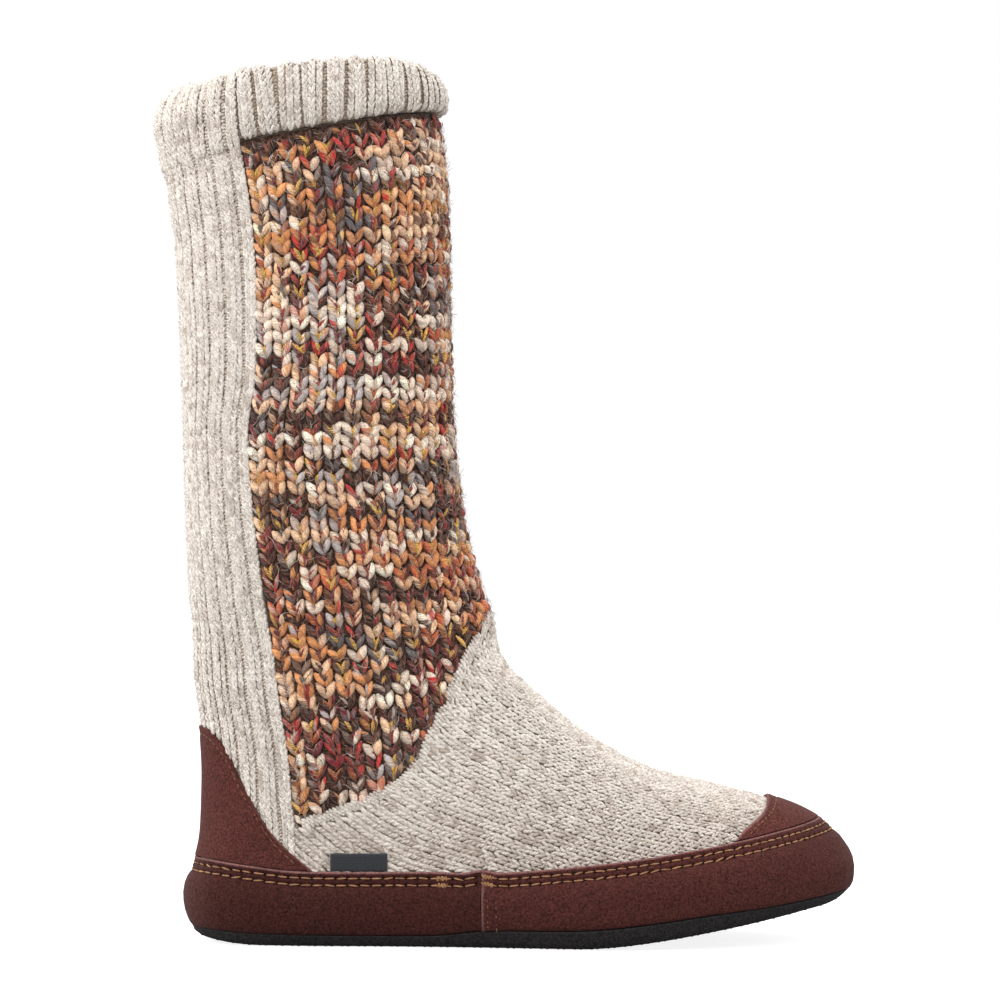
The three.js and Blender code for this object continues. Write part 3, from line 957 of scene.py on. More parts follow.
def yarn_group():
    """Twist and fibres of a plied yarn, by where a point lies round and along it: a mask of its second
    ply, a fibre shade and a height."""
    tree, given, made = new_tree(
        "Plied yarn", "ShaderNodeTree", {"Twist": 2.0, "Plies": 2.0, "Streaks": 2.5, "Softness": 1.0},
        ("Second Ply", "Fibre", "Height"),
    )
    turning, split = strand_parts(tree, given["Twist"])
    angle = times(tree, plus(tree, turning, split["Z"]), 2 * math.pi)
    own = times(tree, split["Z"], 61.0)
    ring = on_roll(tree, angle, plus(tree, times(tree, split["Y"], 0.9), own))
    fibre = noise_at(tree, ring, given["Streaks"], 4.0, Roughness=0.65)
    coarse = maths(tree, "SUBTRACT", noise_at(tree, ring, 1.1, 2.0), 0.5)
    wave = maths(tree, "COSINE", times(tree, angle, given["Plies"]))
    shaken = times(tree, coarse, times(tree, given["Softness"], 3.0))
    tree.links.new(ramp(tree, plus(tree, wave, shaken), 0.1, 0.55), made["Second Ply"])
    tree.links.new(fibre, made["Fibre"])
    groove = times(tree, maths(tree, "ABSOLUTE", wave), 0.5)
    tree.links.new(plus(tree, groove, times(tree, fibre, 1.2)), made["Height"])
    return tree


def nap_group():
    """Brushed nap: a shade that drifts over the hide, a fine speckle and a height."""
    tree, given, made = new_tree(
        "Suede nap", "ShaderNodeTree", {"Drift Scale": 45.0, "Grain Scale": 1100.0},
        ("Drift", "Speckle", "Height"),
    )
    drift = grain(tree, given["Drift Scale"], 4)
    speckle = grain(tree, given["Grain Scale"], 3)
    fine = grain(tree, times(tree, given["Grain Scale"], 2.6), 2)
    tree.links.new(ramp(tree, drift, 0.3, 0.7), made["Drift"])
    both = times(tree, plus(tree, speckle, fine), 0.5)
    tree.links.new(ramp(tree, both, 0.36, 0.68), made["Speckle"])
    tree.links.new(plus(tree, speckle, times(tree, fine, 0.6)), made["Height"])
    return tree


SHEEN_ROUGHNESS = 0.45


def new_material(name, roughness, sheen=0.0, specular=0.3, sheen_tint=(1, 1, 1)):
    material = bpy.data.materials.new(name)
    material.use_nodes = True
    shader = material.node_tree.nodes["Principled BSDF"]
    values = {
        "Roughness": roughness, "Sheen Weight": sheen, "Sheen Roughness": SHEEN_ROUGHNESS,
        "Sheen Tint": (*sheen_tint, 1), "Specular IOR Level": specular,
    }
    for key, value in values.items():
        shader.inputs[key].default_value = value
    return material, material.node_tree, shader


def surfaced(tree, shader, colours, height=None, strength=0.8, distance=0.0):
    """Gives a shader its colours, and its bumps where there is a height."""
    tree.links.new(colours, shader.inputs["Base Color"])
    if height is not None:
        bump = add(tree, "ShaderNodeBump", {"Height": height, "Strength": strength, "Distance": distance})
        tree.links.new(bump.outputs["Normal"], shader.inputs["Normal"])


def shared_material(name, maker):
    return bpy.data.materials.get(name) or maker(name)


def group_node(tree, name, maker, **values):
    node = add(tree, "ShaderNodeGroup", node_tree=shared_tree(name, maker))
    for key, value in values.items():
        node.inputs[key.replace("_", " ")].default_value = value
    return node.outputs


STRAY_MASKS = ("Dark", "Warm", "Pale", "Golden")
STRAY_START = 0.54  # noise above which a stray fibre begins to show


def stray_group():
    """Stray fibres spun into a yarn: four masks of thin streaks that lie along it."""
    tree, given, made = new_tree(
        "Stray fibres", "ShaderNodeTree", {"Scale": 2.4, "Twist": 1.0, "Spread": 0.08}, STRAY_MASKS
    )
    turning, split = strand_parts(tree, given["Twist"])
    angle = times(tree, turning, 2 * math.pi)
    for number, name in enumerate(STRAY_MASKS):
        own = times(tree, split["Z"], 83.0 + 29.0 * number)
        ring = on_roll(tree, angle, plus(tree, split["Y"], own))
        top = plus(tree, STRAY_START, given["Spread"])
        mask = ramp(tree, noise_at(tree, ring, given["Scale"], 3.0), STRAY_START, top)
        tree.links.new(mask, made[name])
    return tree


def yarn_material(name, look, fleck, bump_distance, sheen, contrast, strays=()):
    """Yarn that takes its two plies' colours from the stitch it lies in, with flecks of a third. "look"
    sets the plied yarn's inputs; "fleck" is a colour, its spots a metre and how much they cover; "strays"
    are the colours and strengths of stray fibres."""
    material, tree, shader = new_material(name, 0.92, sheen, 0.15)
    fleck_colour, spots_a_metre, cover = fleck
    yarn = group_node(tree, "Plied yarn", yarn_group, **look)
    both = mixed(tree, yarn["Second Ply"], painted(tree, "tint")["Color"], painted(tree, "ply")["Color"])
    if strays:
        fibres = group_node(tree, "Stray fibres", stray_group)
        for mask, (shade, strength) in zip(STRAY_MASKS, strays):
            both = mixed(tree, times(tree, fibres[mask], strength), both, shade)
    spots = times(tree, ramp(tree, grain(tree, spots_a_metre, 3), 0.52, 0.66), cover)
    both = mixed(tree, spots, both, fleck_colour)
    fuzzy = ramp(tree, grain(tree, spots_a_metre * 2.2, 2), 0.38, 0.62)
    streak = plus(tree, ramp(tree, yarn["Fibre"], 0.3, 0.7), fuzzy)
    shade = plus(tree, 1.0 - contrast, times(tree, streak, contrast))
    surfaced(tree, shader, shaded(tree, both, shade), yarn["Height"], 0.8, bump_distance)
    return material


def shade_of(name):
    return np.array(getattr(bpy.context.scene.slouch_boot_colours, name))


def strays_of(*strays):
    return tuple((srgb(*shade), strength) for shade, strength in strays)


def oatmeal_yarn(name):
    look = {"Twist": 1.3, "Plies": 2.0, "Streaks": 2.2, "Softness": 1.6}
    return yarn_material(name, look, (shade_of("fleck"), 700.0, 0.44), 0.00025, 0.3, 0.2)


def chunky_yarn(name):
    look = {"Twist": 0.9, "Plies": 1.0, "Streaks": 3.6, "Softness": 1.4}
    strays = strays_of(
        ((58, 38, 34), 0.36), ((180, 70, 52), 0.24), ((232, 212, 194), 0.2), ((208, 150, 80), 0.15)
    )
    return yarn_material(name, look, (srgb(74, 48, 44), 980.0, 0.15), 0.00048, 0.2, 0.4, strays)


def binder_yarn(name):
    look = {"Twist": 3.2, "Plies": 2.0, "Streaks": 2.4, "Softness": 0.7}
    strays = strays_of(
        ((56, 38, 34), 0.7), ((150, 60, 48), 0.4), ((214, 190, 168), 0.45), ((190, 140, 84), 0.3)
    )
    return yarn_material(name, look, (srgb(60, 42, 40), 900.0, 0.4), 0.0003, 0.2, 0.3, strays)


def thread_yarn(name):
    look = {"Twist": 3.0, "Plies": 2.0, "Streaks": 2.0, "Softness": 0.3}
    return yarn_material(name, look, (srgb(104, 66, 40), 500.0, 0.5), 0.00015, 0.1, 0.25)


def loose_fibre(name):
    """Single hairs, coloured by the hair."""
    material, tree, shader = new_material(name, 0.9, specular=0.2)
    patch = ramp(tree, grain(tree, 300.0, 2), 0.2, 0.8)
    shade = plus(tree, 0.75, times(tree, patch, 0.5))
    surfaced(tree, shader, shaded(tree, painted(tree, "tint")["Color"], shade))
    return material


def backing(name, light, dark, scale, bump_distance):
    """The shaded fabric that shows between stitches."""
    material, tree, shader = new_material(name, 0.95, 0.15, 0.15)
    fabric = mixed(tree, ramp(tree, grain(tree, scale, 3), 0.35, 0.65), dark, light)
    shade = times(tree, painted(tree, "shade")["Fac"], 0.5)
    fabric = mixed(tree, shade, fabric, np.array(dark) * 0.5)
    surfaced(tree, shader, fabric, grain(tree, scale * 1.7, 2), 0.8, bump_distance)
    return material


def suede(name, depth):
    """Brushed hide: "depth" is how light the piece is drawn, its dye together with painted shade that sets
    some pieces darker than others.
    """
    base = shade_of("suede") * depth
    material, tree, shader = new_material(name, 0.95, 0.06, 0.1, (0.8, 0.6, 0.55))
    nap = group_node(tree, "Suede nap", nap_group, Drift_Scale=42.0, Grain_Scale=1150.0)
    hide = mixed(tree, nap["Drift"], base * 0.84, base * 1.14)
    hide = mixed(tree, nap["Speckle"], mixed(tree, 0.56, hide, BLACK), base * 3.8)
    cut_fibres = plus(tree, 0.25, times(tree, nap["Speckle"], 0.9))
    edge = times(tree, painted(tree, "raw_edge")["Fac"], cut_fibres)
    # The raw edge mask lightens the cut edges; on the rear foxing it also carries painted light round the
    # heel.
    marked = mixed(tree, edge, hide, shade_of("raw_edge"))
    # Painted shade in the needle holes: the hide drawn near black round each hole.
    hole_shade = times(tree, painted(tree, "hole")["Fac"], 0.85)
    surfaced(tree, shader, mixed(tree, hole_shade, marked, base * 0.15), nap["Height"], 0.7, 0.0004)
    tree.links.new(ramp(tree, nap["Drift"], -6.0, 1.4), shader.inputs["Roughness"])
    return material


def rubber(name):
    shade = shade_of("rubber")
    material, tree, shader = new_material(name, 0.75, specular=0.2)
    dust = ramp(tree, grain(tree, 70, 5), 0.45, 0.8)
    pores = ramp(tree, grain(tree, 1300, 2), 0.35, 0.65)
    marked = mixed(tree, dust, shade * 0.8, shade * 1.6)
    marked = mixed(tree, pores, mixed(tree, 0.7, marked, BLACK), mixed(tree, 0.012, marked, WHITE))
    surfaced(tree, shader, marked, grain(tree, 900, 4), 0.5, 0.0003)
    tree.links.new(plus(tree, 0.6, times(tree, dust, 0.25)), shader.inputs["Roughness"])
    return material


def fleece(name):
    shade = shade_of("fleece")
    material, tree, shader = new_material(name, 0.97, 0.4)
    cells = {"Vector": own_place(tree), "Scale": 420.0}
    curls = add(tree, "ShaderNodeTexVoronoi", cells).outputs["Distance"]
    # Darker towards the edge of each curl, where the bump sinks: painted shade between the curls.
    pile = mixed(tree, ramp(tree, curls, 0.0, 0.7), shade, shade * 0.62)
    surfaced(tree, shader, pile, maths(tree, "SUBTRACT", 1.0, curls), 0.8, 0.0012)
    return material


def bands(tree, way, scale, distortion, **more):
    """Waves across the object along one of its own directions."""
    inputs = {"Vector": own_place(tree), "Scale": scale, "Distortion": distortion, **more}
    return add(tree, "ShaderNodeTexWave", inputs, bands_direction=way).outputs["Fac"]


def label_tape(name):
    shade = shade_of("label")
    material, tree, shader = new_material(name, 0.75, 0.15)
    # Lighter on the raised threads and darker between them: the weave's pattern, with painted shade in its
    # hollows.
    weave = times(tree, bands(tree, "Z", 420.0, 0.6), bands(tree, "X", 520.0, 0.4))
    edge = times(tree, painted(tree, "raw_edge")["Fac"], 0.5)
    cloth = mixed(tree, edge, mixed(tree, weave, shade * 0.7, shade * 1.25), shade * 1.9)
    surfaced(tree, shader, cloth, weave, 0.6, 0.0002)
    return material


def lining(name):
    """The reverse of the knit that shows inside the leg: loops in fine cross rows."""
    material, tree, shader = new_material(name, 0.95, 0.2, 0.15)
    rows = bands(tree, "Z", 115.0, 2.2, **{"Detail": 2.0, "Detail Scale": 2.0})
    loops = grain(tree, 640.0, 3)
    marled = mixed(tree, ramp(tree, loops, 0.34, 0.6), shade_of("fleck") * 1.1, shade_of("oatmeal") * 0.8)
    # Darker between the rows: painted shade in the troughs of the purl rows.
    shade = plus(tree, 0.72, times(tree, rows, 0.28))
    surfaced(tree, shader, shaded(tree, marled, shade), plus(tree, rows, loops), 0.8, 0.0008)
    return material


def oatmeal_backing(name):
    return backing(name, shade_of("hollow"), shade_of("hollow") * 0.7, 900.0, 0.0004)


def chunky_backing(name):
    return backing(name, srgb(112, 82, 68), srgb(38, 26, 23), 1300.0, 0.0009)


# ---- knit pieces -------------------------------------------------------------------------------------

BACKING_DEPTH = 0.75  # how far the fabric behind the fine stitches lies under the outer face
FOOT_BACKING_DEPTH = 1.05
CHUNKY_BACKING_DEPTH = 0.7
RIB_HEIGHTS = (-0.44, -0.1, 0.32, -0.1)  # rise of the purl column and the three plain ones of a rib
RIB_DEEPER = 0.8  # how much deeper the back's ribs get towards the heel
CUFF_RIB_HEIGHTS = (-1.25, -0.36, 0.5, -0.36)
CUFF_BACK_HEIGHTS = (-0.22, -0.04, 0.2, -0.04)
WALE_WIDTHS = (1.7, 2.1, 2.1, 2.1)
BACK_YARN, CUFF_YARN = 1.5, 1.52  # thickness of the oatmeal yarn
FINE_YARN = {"Bow": 0.0001, "Arch": 0.00028, "Tip": 0.5, "Sides": 4}


def knit_sheet():
    rows = np.linspace(0.02, LAST_ROW - 0.02, (LAST_ROW - 1) * 5)
    return grid_bmesh(*sheet(rows, np.arange(112) / 112), closed=True)


def below_collar(points):
    return collar_height(points[..., 0]) - SEAM - points[..., 2]


def in_panel(points):
    return inside_outline(points, PANEL_OUTLINE)


def two_sided(mesh, count):
    """Lines a shell: the faces that use only the second half of the points get the lining."""
    mesh.materials.append(shared_material("knit_lining", lining))
    for polygon in mesh.polygons:
        if min(polygon.vertices) >= count:
            polygon.material_index = 1


def past_seam(points):
    """From 0 on the ribbed back to 1 on the foot, past the line of the panel's seam."""
    return ease((points[:, 0] - seam_x(points[:, 2])) / 3)


def near_hem(points):
    """From 0 well below the heavy panel's hem to 1 along it."""
    return ease((6.5 + in_panel(points)) / 4)


def make_upper():
    """The cloth under the oatmeal stitches: the foot, the ribbed back and their lining."""
    bm = knit_sheet()
    cut(bm, lambda p: above_line(p, SOLE_TOP) - SEAM)
    cut(bm, below_collar)
    cut(bm, lambda p: -in_panel(p) - SEAM)

    def depth(points):
        ahead = past_seam(points)
        return -lerp(lerp(BACKING_DEPTH, FOOT_BACKING_DEPTH, ahead), 0.5, near_hem(points) * ahead)

    points, faces = shell_from(bm, depth, -KNIT)
    half = len(points) // 2
    shade = past_seam(points[:half]) * (1 - near_hem(points[:half]))
    shade = np.concatenate((shade, np.zeros(half)))
    material = shared_material("shaded_oatmeal", oatmeal_backing)
    mesh = solid_mesh("upper_knit_backing", points, faces, material, shade=shade)
    two_sided(mesh, half)
    add_piece("upper_knit_backing", mesh, ("upper",))


def make_panel():
    """The cloth under the heavy stitches, with its lining."""
    bm = knit_sheet()
    cut(bm, below_collar)
    cut(bm, in_panel)
    points, faces = shell_from(bm, -CHUNKY_BACKING_DEPTH, -KNIT)
    material = shared_material("shaded_space_dye", chunky_backing)
    mesh = solid_mesh("shaft_panel_backing", points, faces, material)
    two_sided(mesh, len(points) // 2)
    add_piece("shaft_panel_backing", mesh, ("shaft_panel",))


def marl(rng, at, brown_and_shade=0.0):
    """Colours of the two plies of every leg of the oatmeal yarn, in drifts over the fabric.
    "brown_and_shade" is how much brown is mixed in, overall or leg by leg: brown spun into the yarn, and on
    the lower foot also painted shade."""
    light, fleck = shade_of("oatmeal"), shade_of("fleck")
    count = len(at)
    brown_and_shade = np.broadcast_to(brown_and_shade, (count,))[:, None]
    drift = np.array([noise.noise(Vector(p) / 6.0) for p in at])[:, None]
    tint = light * (1 + rng.normal(0, 0.06, (count, 1)))
    spun_in = np.clip(0.16 * drift, 0, 0.2) + brown_and_shade * rng.uniform(0.5, 1.5, (count, 1))
    tint = lerp(tint, fleck, np.clip(spun_in, 0, 1))
    tint = lerp(tint, fleck, (rng.random((count, 1)) < 0.16) * rng.uniform(0.2, 0.65, (count, 1)))
    ply = lerp(light, fleck, np.clip(rng.uniform(0.0, 0.6, (count, 1)) + brown_and_shade, 0, 1))
    return np.clip(tint, 0, 1), np.clip(ply, 0, 1)


def fine_legs(chart, at, down, out, width, rng, lift=0.0, lean=17, brown_and_shade=0.0, spread=0.25, fat=1.0):
    """Two legs of marl yarn for every stitch, leaning in towards its foot as a V; "spread" is how far
    aside they lie, in stitches, and "fat" scales each leg."""
    tint, ply = marl(rng, at, brown_and_shade)
    side = unit(np.cross(out, down))
    for hand, sign in ((0, -1), (1, 1)):
        angle = np.radians(lean + rng.normal(0, 4, len(at)))[:, None]
        raised = lift + rng.normal(0, 0.1, len(at))
        centre = at + side * sign * width * spread + out * raised[:, None]
        along = down * np.cos(angle) - side * sign * np.sin(angle)
        chart.put(centre, along, out, fat * (1 + rng.normal(0, 0.06, (len(at), 3))), hand, tint, ply)


BACK_GROOVE_SHADE = np.array((0.97, 0.94, 0.9))  # painted shade on the bars in a groove, against the ribs
CUFF_GROOVE_SHADE = np.array((0.72, 0.64, 0.55))
PURL_SIZE = (0.9, 0.5, 0.8)  # scale of a bar against a leg of the yarn


def purl_bumps(chart, at, across, out, rng, lift, row, groove):
    """The short cross bars that show in the groove between two ribs, two to a row."""
    down = np.cross(across, out) * row / 4
    lift = np.tile(np.broadcast_to(lift, (len(at),)), 2)[:, None]
    at, across, out = np.vstack((at - down, at + down)), np.tile(across, (2, 1)), np.tile(out, (2, 1))
    tint, ply = marl(rng, at, 0.12)
    aside = across * rng.normal(0, 0.2, (len(at), 1))
    turned = unit(across + np.cross(out, across) * rng.normal(0, 0.25, (len(at), 1)))
    size = PURL_SIZE * rng.uniform(0.85, 1.15, (len(at), 1))
    # The groove's tint darkens the bars: painted shade in the groove between two ribs.
    chart.put(at + out * lift + aside, turned, out, size, 0, tint * groove, ply * groove)


def noise_over(points, seed):
    """Gentle noise at points, shifted by a seed on each axis."""
    values = [noise.noise(Vector(p) + Vector(seed)) for p in points.reshape(-1, 3)]
    return np.array(values).reshape(points.shape[:-1])


def waver(places, across, size, depth, seed):
    """Lets the columns of a fabric wander a little from side to side."""
    aside = noise_over(places / (size * 3, size * 3, size), (seed, 0, 0)) * depth
    return places + across * aside[..., None]


def oatmeal(name, chart, row, thickness, segments=2):
    """A piece of oatmeal legs, each half as long again as its row is high."""
    shape = {"Length": row * 1.5 * MM, "Thickness": thickness, "Segments": segments, **FINE_YARN}
    grow(name, chart, shared_material("oatmeal_yarn", oatmeal_yarn), "oatmeal_knit", **shape)


def back_kept(points):
    """True where a stitch of the ribbed back shows."""
    shown = above_line(points, COUNTER_LINE) > -1.0
    shown &= above_line(points, BAND_TOP) > -1.5
    shown &= below_collar(points) > 1.0
    return shown & (in_panel(points) < 0.3)


def make_back_stitches():
    """The ribs of the back, wale by wale from the centre back to the seams."""
    row = bpy.context.scene.slouch_boot_knit.rib_row / MM
    rng = np.random.default_rng(11)
    columns, kinds = rib_columns(BACK_RIBS)
    for side, name in ((-1, "back_rib_outer"), (1, "back_rib_inner")):
        chart = Chart()
        at, down, out = leg_wales(side, leg_rows(row), columns / BACK_RIBS, "back")
        free = ease(below_collar(at) / 40)
        at = waver(at, unit(np.cross(out, down)), 26.0, 1.2 * free, side * 4.0)
        for k, kind in enumerate(kinds):
            if k == 0 and side > 0:
                continue
            shown = back_kept(at[:, k])
            spots, facing, running = at[shown, k], out[shown, k], down[shown, k]
            heights = RIB_HEIGHTS[kind] * (1 + RIB_DEEPER * ease((150 - spots[:, 2]) / 50))
            if kind:
                fine_legs(chart, spots, running, facing, WALE_WIDTHS[kind], rng, heights)
            else:
                sideways = unit(np.cross(facing, running))
                purl_bumps(chart, spots, sideways, facing, rng, heights, row, BACK_GROOVE_SHADE)
        oatmeal(name, chart, row, BACK_YARN * MM)


def foot_kept(points):
    """True where a stitch of the foot shows."""
    shown = above_line(points, BAND_TOP) > -1.6
    shown &= toe_side(points) < 0.9
    shown &= (points[:, 0] > seam_x(points[:, 2]) - 0.7) & (in_panel(points) < -0.9)
    return shown & (above_line(points, COUNTER_LINE) > -1.0)


def make_foot_stitches():
    """The stockinette of the foot, wale by wale, with its turned-over hem."""
    knit = bpy.context.scene.slouch_boot_knit
    width, row = knit.vamp_wale / MM, knit.vamp_row / MM
    rng = np.random.default_rng(23)
    charts, laid = {-1: Chart(), 1: Chart()}, {-1: [], 1: []}
    for at, down, out in foot_wales(width, row):
        shown = foot_kept(at)
        if not shown.any():
            continue
        side = 1 if at[:, 1].mean() > 0 else -1
        at, down, out = at[shown], down[shown], out[shown]
        lift = 0.65 * (1 - ease(-in_panel(at) / 6)) - 0.3
        # More brown lower down the foot: more brown fleck in the yarn, and painted shade where the foot
        # turns under, away from the light.
        brown_and_shade = 0.04 + 0.28 * ease((76 - at[:, 2]) / 52)
        fat = foot_stretch(at[:, 0])
        at = at + unit(np.cross(out, down)) * rng.normal(0, 0.1, (len(at), 1))
        at = at + down * rng.normal(0, 0.14, (len(at), 1))
        fine_legs(charts[side], at, down, out, width * fat, rng, lift, 20, brown_and_shade, 0.242, fat)
        laid[side].append(np.hstack((at, down)))
    for side, name in ((-1, "foot_knit_outer"), (1, "foot_knit_inner")):
        hem_roll(charts[side], side, rng, np.vstack(laid[side]))
        oatmeal(name, charts[side], row, knit.fine_thick, 3)


def hem_line(side):
    """The foot's edge against the heavy panel: places and normals from the ankle's front to the seam."""
    contour = LegContour(side)
    inside = in_panel(contour.points) > 0
    first = np.argmax(inside, axis=0)
    spots = []
    for turn in np.flatnonzero(inside.any(axis=0) & (first > 0)):
        low, high = contour.points[first[turn] - 1, turn], contour.points[first[turn], turn]
        a, b = in_panel(low), in_panel(high)
        spots.append(lerp(low, high, a / (a - b)))
    spots = np.array(spots)
    near = distance_to_line(side_view(spots), smooth(PANEL_HEM)) < 0.5
    return SKIN.nearest(resample(spots[near], 1.5))


# Rows of the turned-over hem, from the panel outwards: how far away, how high and how they lean.
HEM_ROWS = ((-0.3, -0.05, 1.1), (0.7, 0.38, 0.4), (1.9, 0.3, 0))


def hem_roll(chart, side, rng, laid):
    """Turned-over edge of the foot's knit along the heavy panel: rows of legs that follow the stitches
    beside them, laid as places and directions, and roll from the foot's face down to the panel."""
    spots, normals = hem_line(side)
    along = unit(np.gradient(spots, axis=0))
    away = unit(np.cross(along, normals)) * side
    nearest = ((spots[:, None] - laid[None, :, :3]) ** 2).sum(-1).argmin(1)
    follow = laid[nearest, 3:]
    for number, (shift, lift, lean) in enumerate(HEM_ROWS):
        tint, ply = marl(rng, spots, 0.05)
        turned = unit(follow + np.cross(normals, follow) * rng.normal(0, 0.2, (len(spots), 1)))
        at = spots + away * shift + normals * lift + along * 0.5 * (number - 1)
        chart.put(at, turned, unit(normals - away * lean), (1.0, 0.8, 1.0), 0, tint, ply)


# Shades of the space-dyed yarn, how much of its length each one dyes, and how fat it lies there.
DYES = {
    "brown": ((46, 29, 27), 0.24, 0.86),
    "chestnut": ((96, 54, 42), 0.06, 0.9),
    "cream": ((252, 233, 212), 0.21, 1.12),
    "peach": ((244, 202, 164), 0.15, 1.06),
    "amber": ((222, 149, 93), 0.115, 0.98),
    "rust": ((196, 98, 62), 0.085, 0.9),
    "grey": ((190, 184, 182), 0.05, 0.95),
    "slate": ((98, 100, 104), 0.03, 0.84),
    "burgundy": ((112, 34, 50), 0.075, 0.74),
    "red": ((200, 52, 50), 0.052, 0.66),
    "gold": ((236, 182, 96), 0.02, 0.64),
}
# The thin strand spun in with it.
BINDERS = {
    "red": ((178, 44, 46), 0.28, 1.0),
    "gold": ((255, 200, 88), 0.24, 1.0),
    "burgundy": ((124, 42, 58), 0.18, 1.0),
    "teal": ((104, 120, 122), 0.06, 1.0),
    "brown": ((70, 48, 42), 0.1, 1.0),
    "rust": ((206, 120, 66), 0.12, 1.0),
    "pale": ((226, 204, 188), 0.12, 1.0),
}
DRIFT_PULL = 1.6  # weight that a shade gains in the middle of its patch
# Where a shade gathers on the outer side: centre and reach in side view, and the shades.
DRIFTS = (
    (36, 305, 24, 6, "brown burgundy"),
    (88, 298, 13, 17, "cream peach"),
    (63, 290, 11, 16, "brown red slate"),
    (32, 266, 9, 17, "peach cream amber"),
    (48, 267, 9, 10, "amber rust red"),
    (73, 268, 8, 9, "brown slate"),
    (88, 280, 10, 6, "amber peach"),
    (92, 246, 10, 8, "brown slate grey"),
    (47, 252, 8, 6, "brown grey"),
    (72, 252, 10, 6, "amber rust"),
    (48, 232, 22, 8, "cream grey"),
    (78, 228, 16, 7, "brown burgundy red"),
    (54, 208, 24, 6, "cream peach grey"),
    (62, 196, 18, 4, "brown"),
    (66, 191, 10, 3, "cream peach"),
    (56, 184, 11, 4, "brown"),
    (34, 170, 9, 12, "peach amber"),
    (51, 158, 9, 15, "brown grey"),
    (96, 162, 9, 7, "brown slate"),
    (68, 152, 9, 8, "amber peach cream"),
    (36, 147, 7, 6, "brown burgundy"),
    (46, 126, 14, 7, "amber rust"),
    (102, 132, 11, 14, "amber rust peach"),
    (82, 137, 7, 4, "brown"),
    (56, 115, 14, 4, "slate brown"),
    (80, 112, 9, 6, "brown slate"),
    (56, 101, 14, 7, "peach amber"),
    (92, 98, 9, 9, "burgundy brown cream"),
    (58, 89, 13, 5, "brown burgundy"),
    (43, 64, 6, 9, "peach amber"),
    (58, 68, 9, 9, "red burgundy brown"),
    (80, 68, 9, 7, "grey slate"),
)


def shades_of(dyes):
    """Colours, weights and thicknesses of a table of dyes."""
    shades, weights, fat = zip(*dyes.values())
    return np.array([srgb(*shade) for shade in shades]), np.array(weights), np.array(fat)


def dyed(places, dyes, keep, drifts, rng):
    """Picks a dye for every stitch of a grid of places, in runs along each row. "keep" is the chance
    that a stitch takes the last one's dye, and "drifts" is a table like DRIFTS."""
    _, weights, _ = shades_of(dyes)
    names = list(dyes)
    picks = np.zeros(places.shape[:2], int)
    last = 0
    for r, row in enumerate(places):
        order = range(len(row)) if r % 2 else reversed(range(len(row)))
        local = np.tile(weights, (len(row), 1))
        for x, z, reach_x, reach_z, gathered in drifts:
            pull = np.exp(-(((row[:, 0] - x) / reach_x) ** 2) - ((row[:, 2] - z) / reach_z) ** 2)
            for name in gathered.split():
                local[:, names.index(name)] += DRIFT_PULL * pull
        for c in order:
            chance = local[c] / local[c].sum()
            if rng.random() > keep or chance[last] < 0.04:
                last = rng.choice(len(names), p=chance)
            picks[r, c] = last
    return picks


def panel_kept(points):
    return (in_panel(points) > 1.1) & (below_collar(points) > -1.5)


CHUNKY_WIDTH = 7.05  # width of a heavy stitch
CHUNKY_LEAN, CHUNKY_ASIDE = 26, 0.245  # lean of a leg in degrees, and its place in widths from the middle
SECOND_DYE, TWO_TONE, THIN_STRAND = 0.36, 0.66, 0.7  # shares of the legs that have each
CHUNKY_YARN = {"Bow": 0.00035, "Arch": 0.0007, "Tip": 0.3}


def chunky_legs(legs, binders, at, ways, inks, rng):
    """The two legs of every heavy stitch of one column, each with the thin strand spun in with it. "ways"
    are the directions down, out and across, and "inks" the picks of the two dyes and of the strand's."""
    running, facing, beside = ways
    picks, seconds, thins = inks
    dye_shades, _, dye_fat = shades_of(DYES)
    thread = shades_of(BINDERS)[0][thins]
    count = len(at)
    hem = 1 - ease(in_panel(at) / 5.0)

    def spread(low, high):
        return rng.uniform(low, high, (count, 1))

    for hand, sign in ((0, -1), (1, 1)):
        lean = np.radians(CHUNKY_LEAN + rng.normal(0, 8, count))[:, None]
        lift = rng.normal(0.3, 0.22, count) - 1.8 * hem
        centre = at + beside * sign * CHUNKY_WIDTH * CHUNKY_ASIDE + facing * lift[:, None]
        centre = centre + running * rng.normal(0, 0.4, count)[:, None]
        along = running * np.cos(lean) - beside * sign * np.sin(lean)
        pick = np.where(rng.random(count) < SECOND_DYE, seconds, picks)
        fat = (dye_fat[pick] * rng.uniform(0.84, 1.14, count))[:, None]
        size = np.concatenate((fat, spread(0.88, 1.1), fat * 0.9), 1)
        shade = lerp(dye_shades[pick], dye_shades[seconds], spread(0, 0.2))
        shade = shade * (1 + rng.normal(0, 0.14, (count, 1)))
        two_tone = spread(0.2, 1) * (rng.random((count, 1)) < TWO_TONE)
        second = lerp(shade * 0.85, dye_shades[rng.permutation(seconds)], two_tone)
        legs.put(centre, along, facing, size, hand, np.clip(shade, 0, 1), np.clip(second, 0, 1))
        thin = rng.random(count) < THIN_STRAND
        aside = spread(0.5, 1.5)
        side = centre - beside * sign * aside + facing * (1.1 - 0.5 * aside)
        skewed = unit(along + beside * rng.normal(0, 0.28, (count, 1)))
        girth = spread(0.36, 0.64)
        size = np.concatenate((girth, spread(0.5, 0.95), girth), 1)
        darker = lerp(thread[thin], dye_shades[0], rng.uniform(0.3, 1, (thin.sum(), 1)))
        binders.put(side[thin], skewed[thin], facing[thin], size[thin], hand, thread[thin], darker)


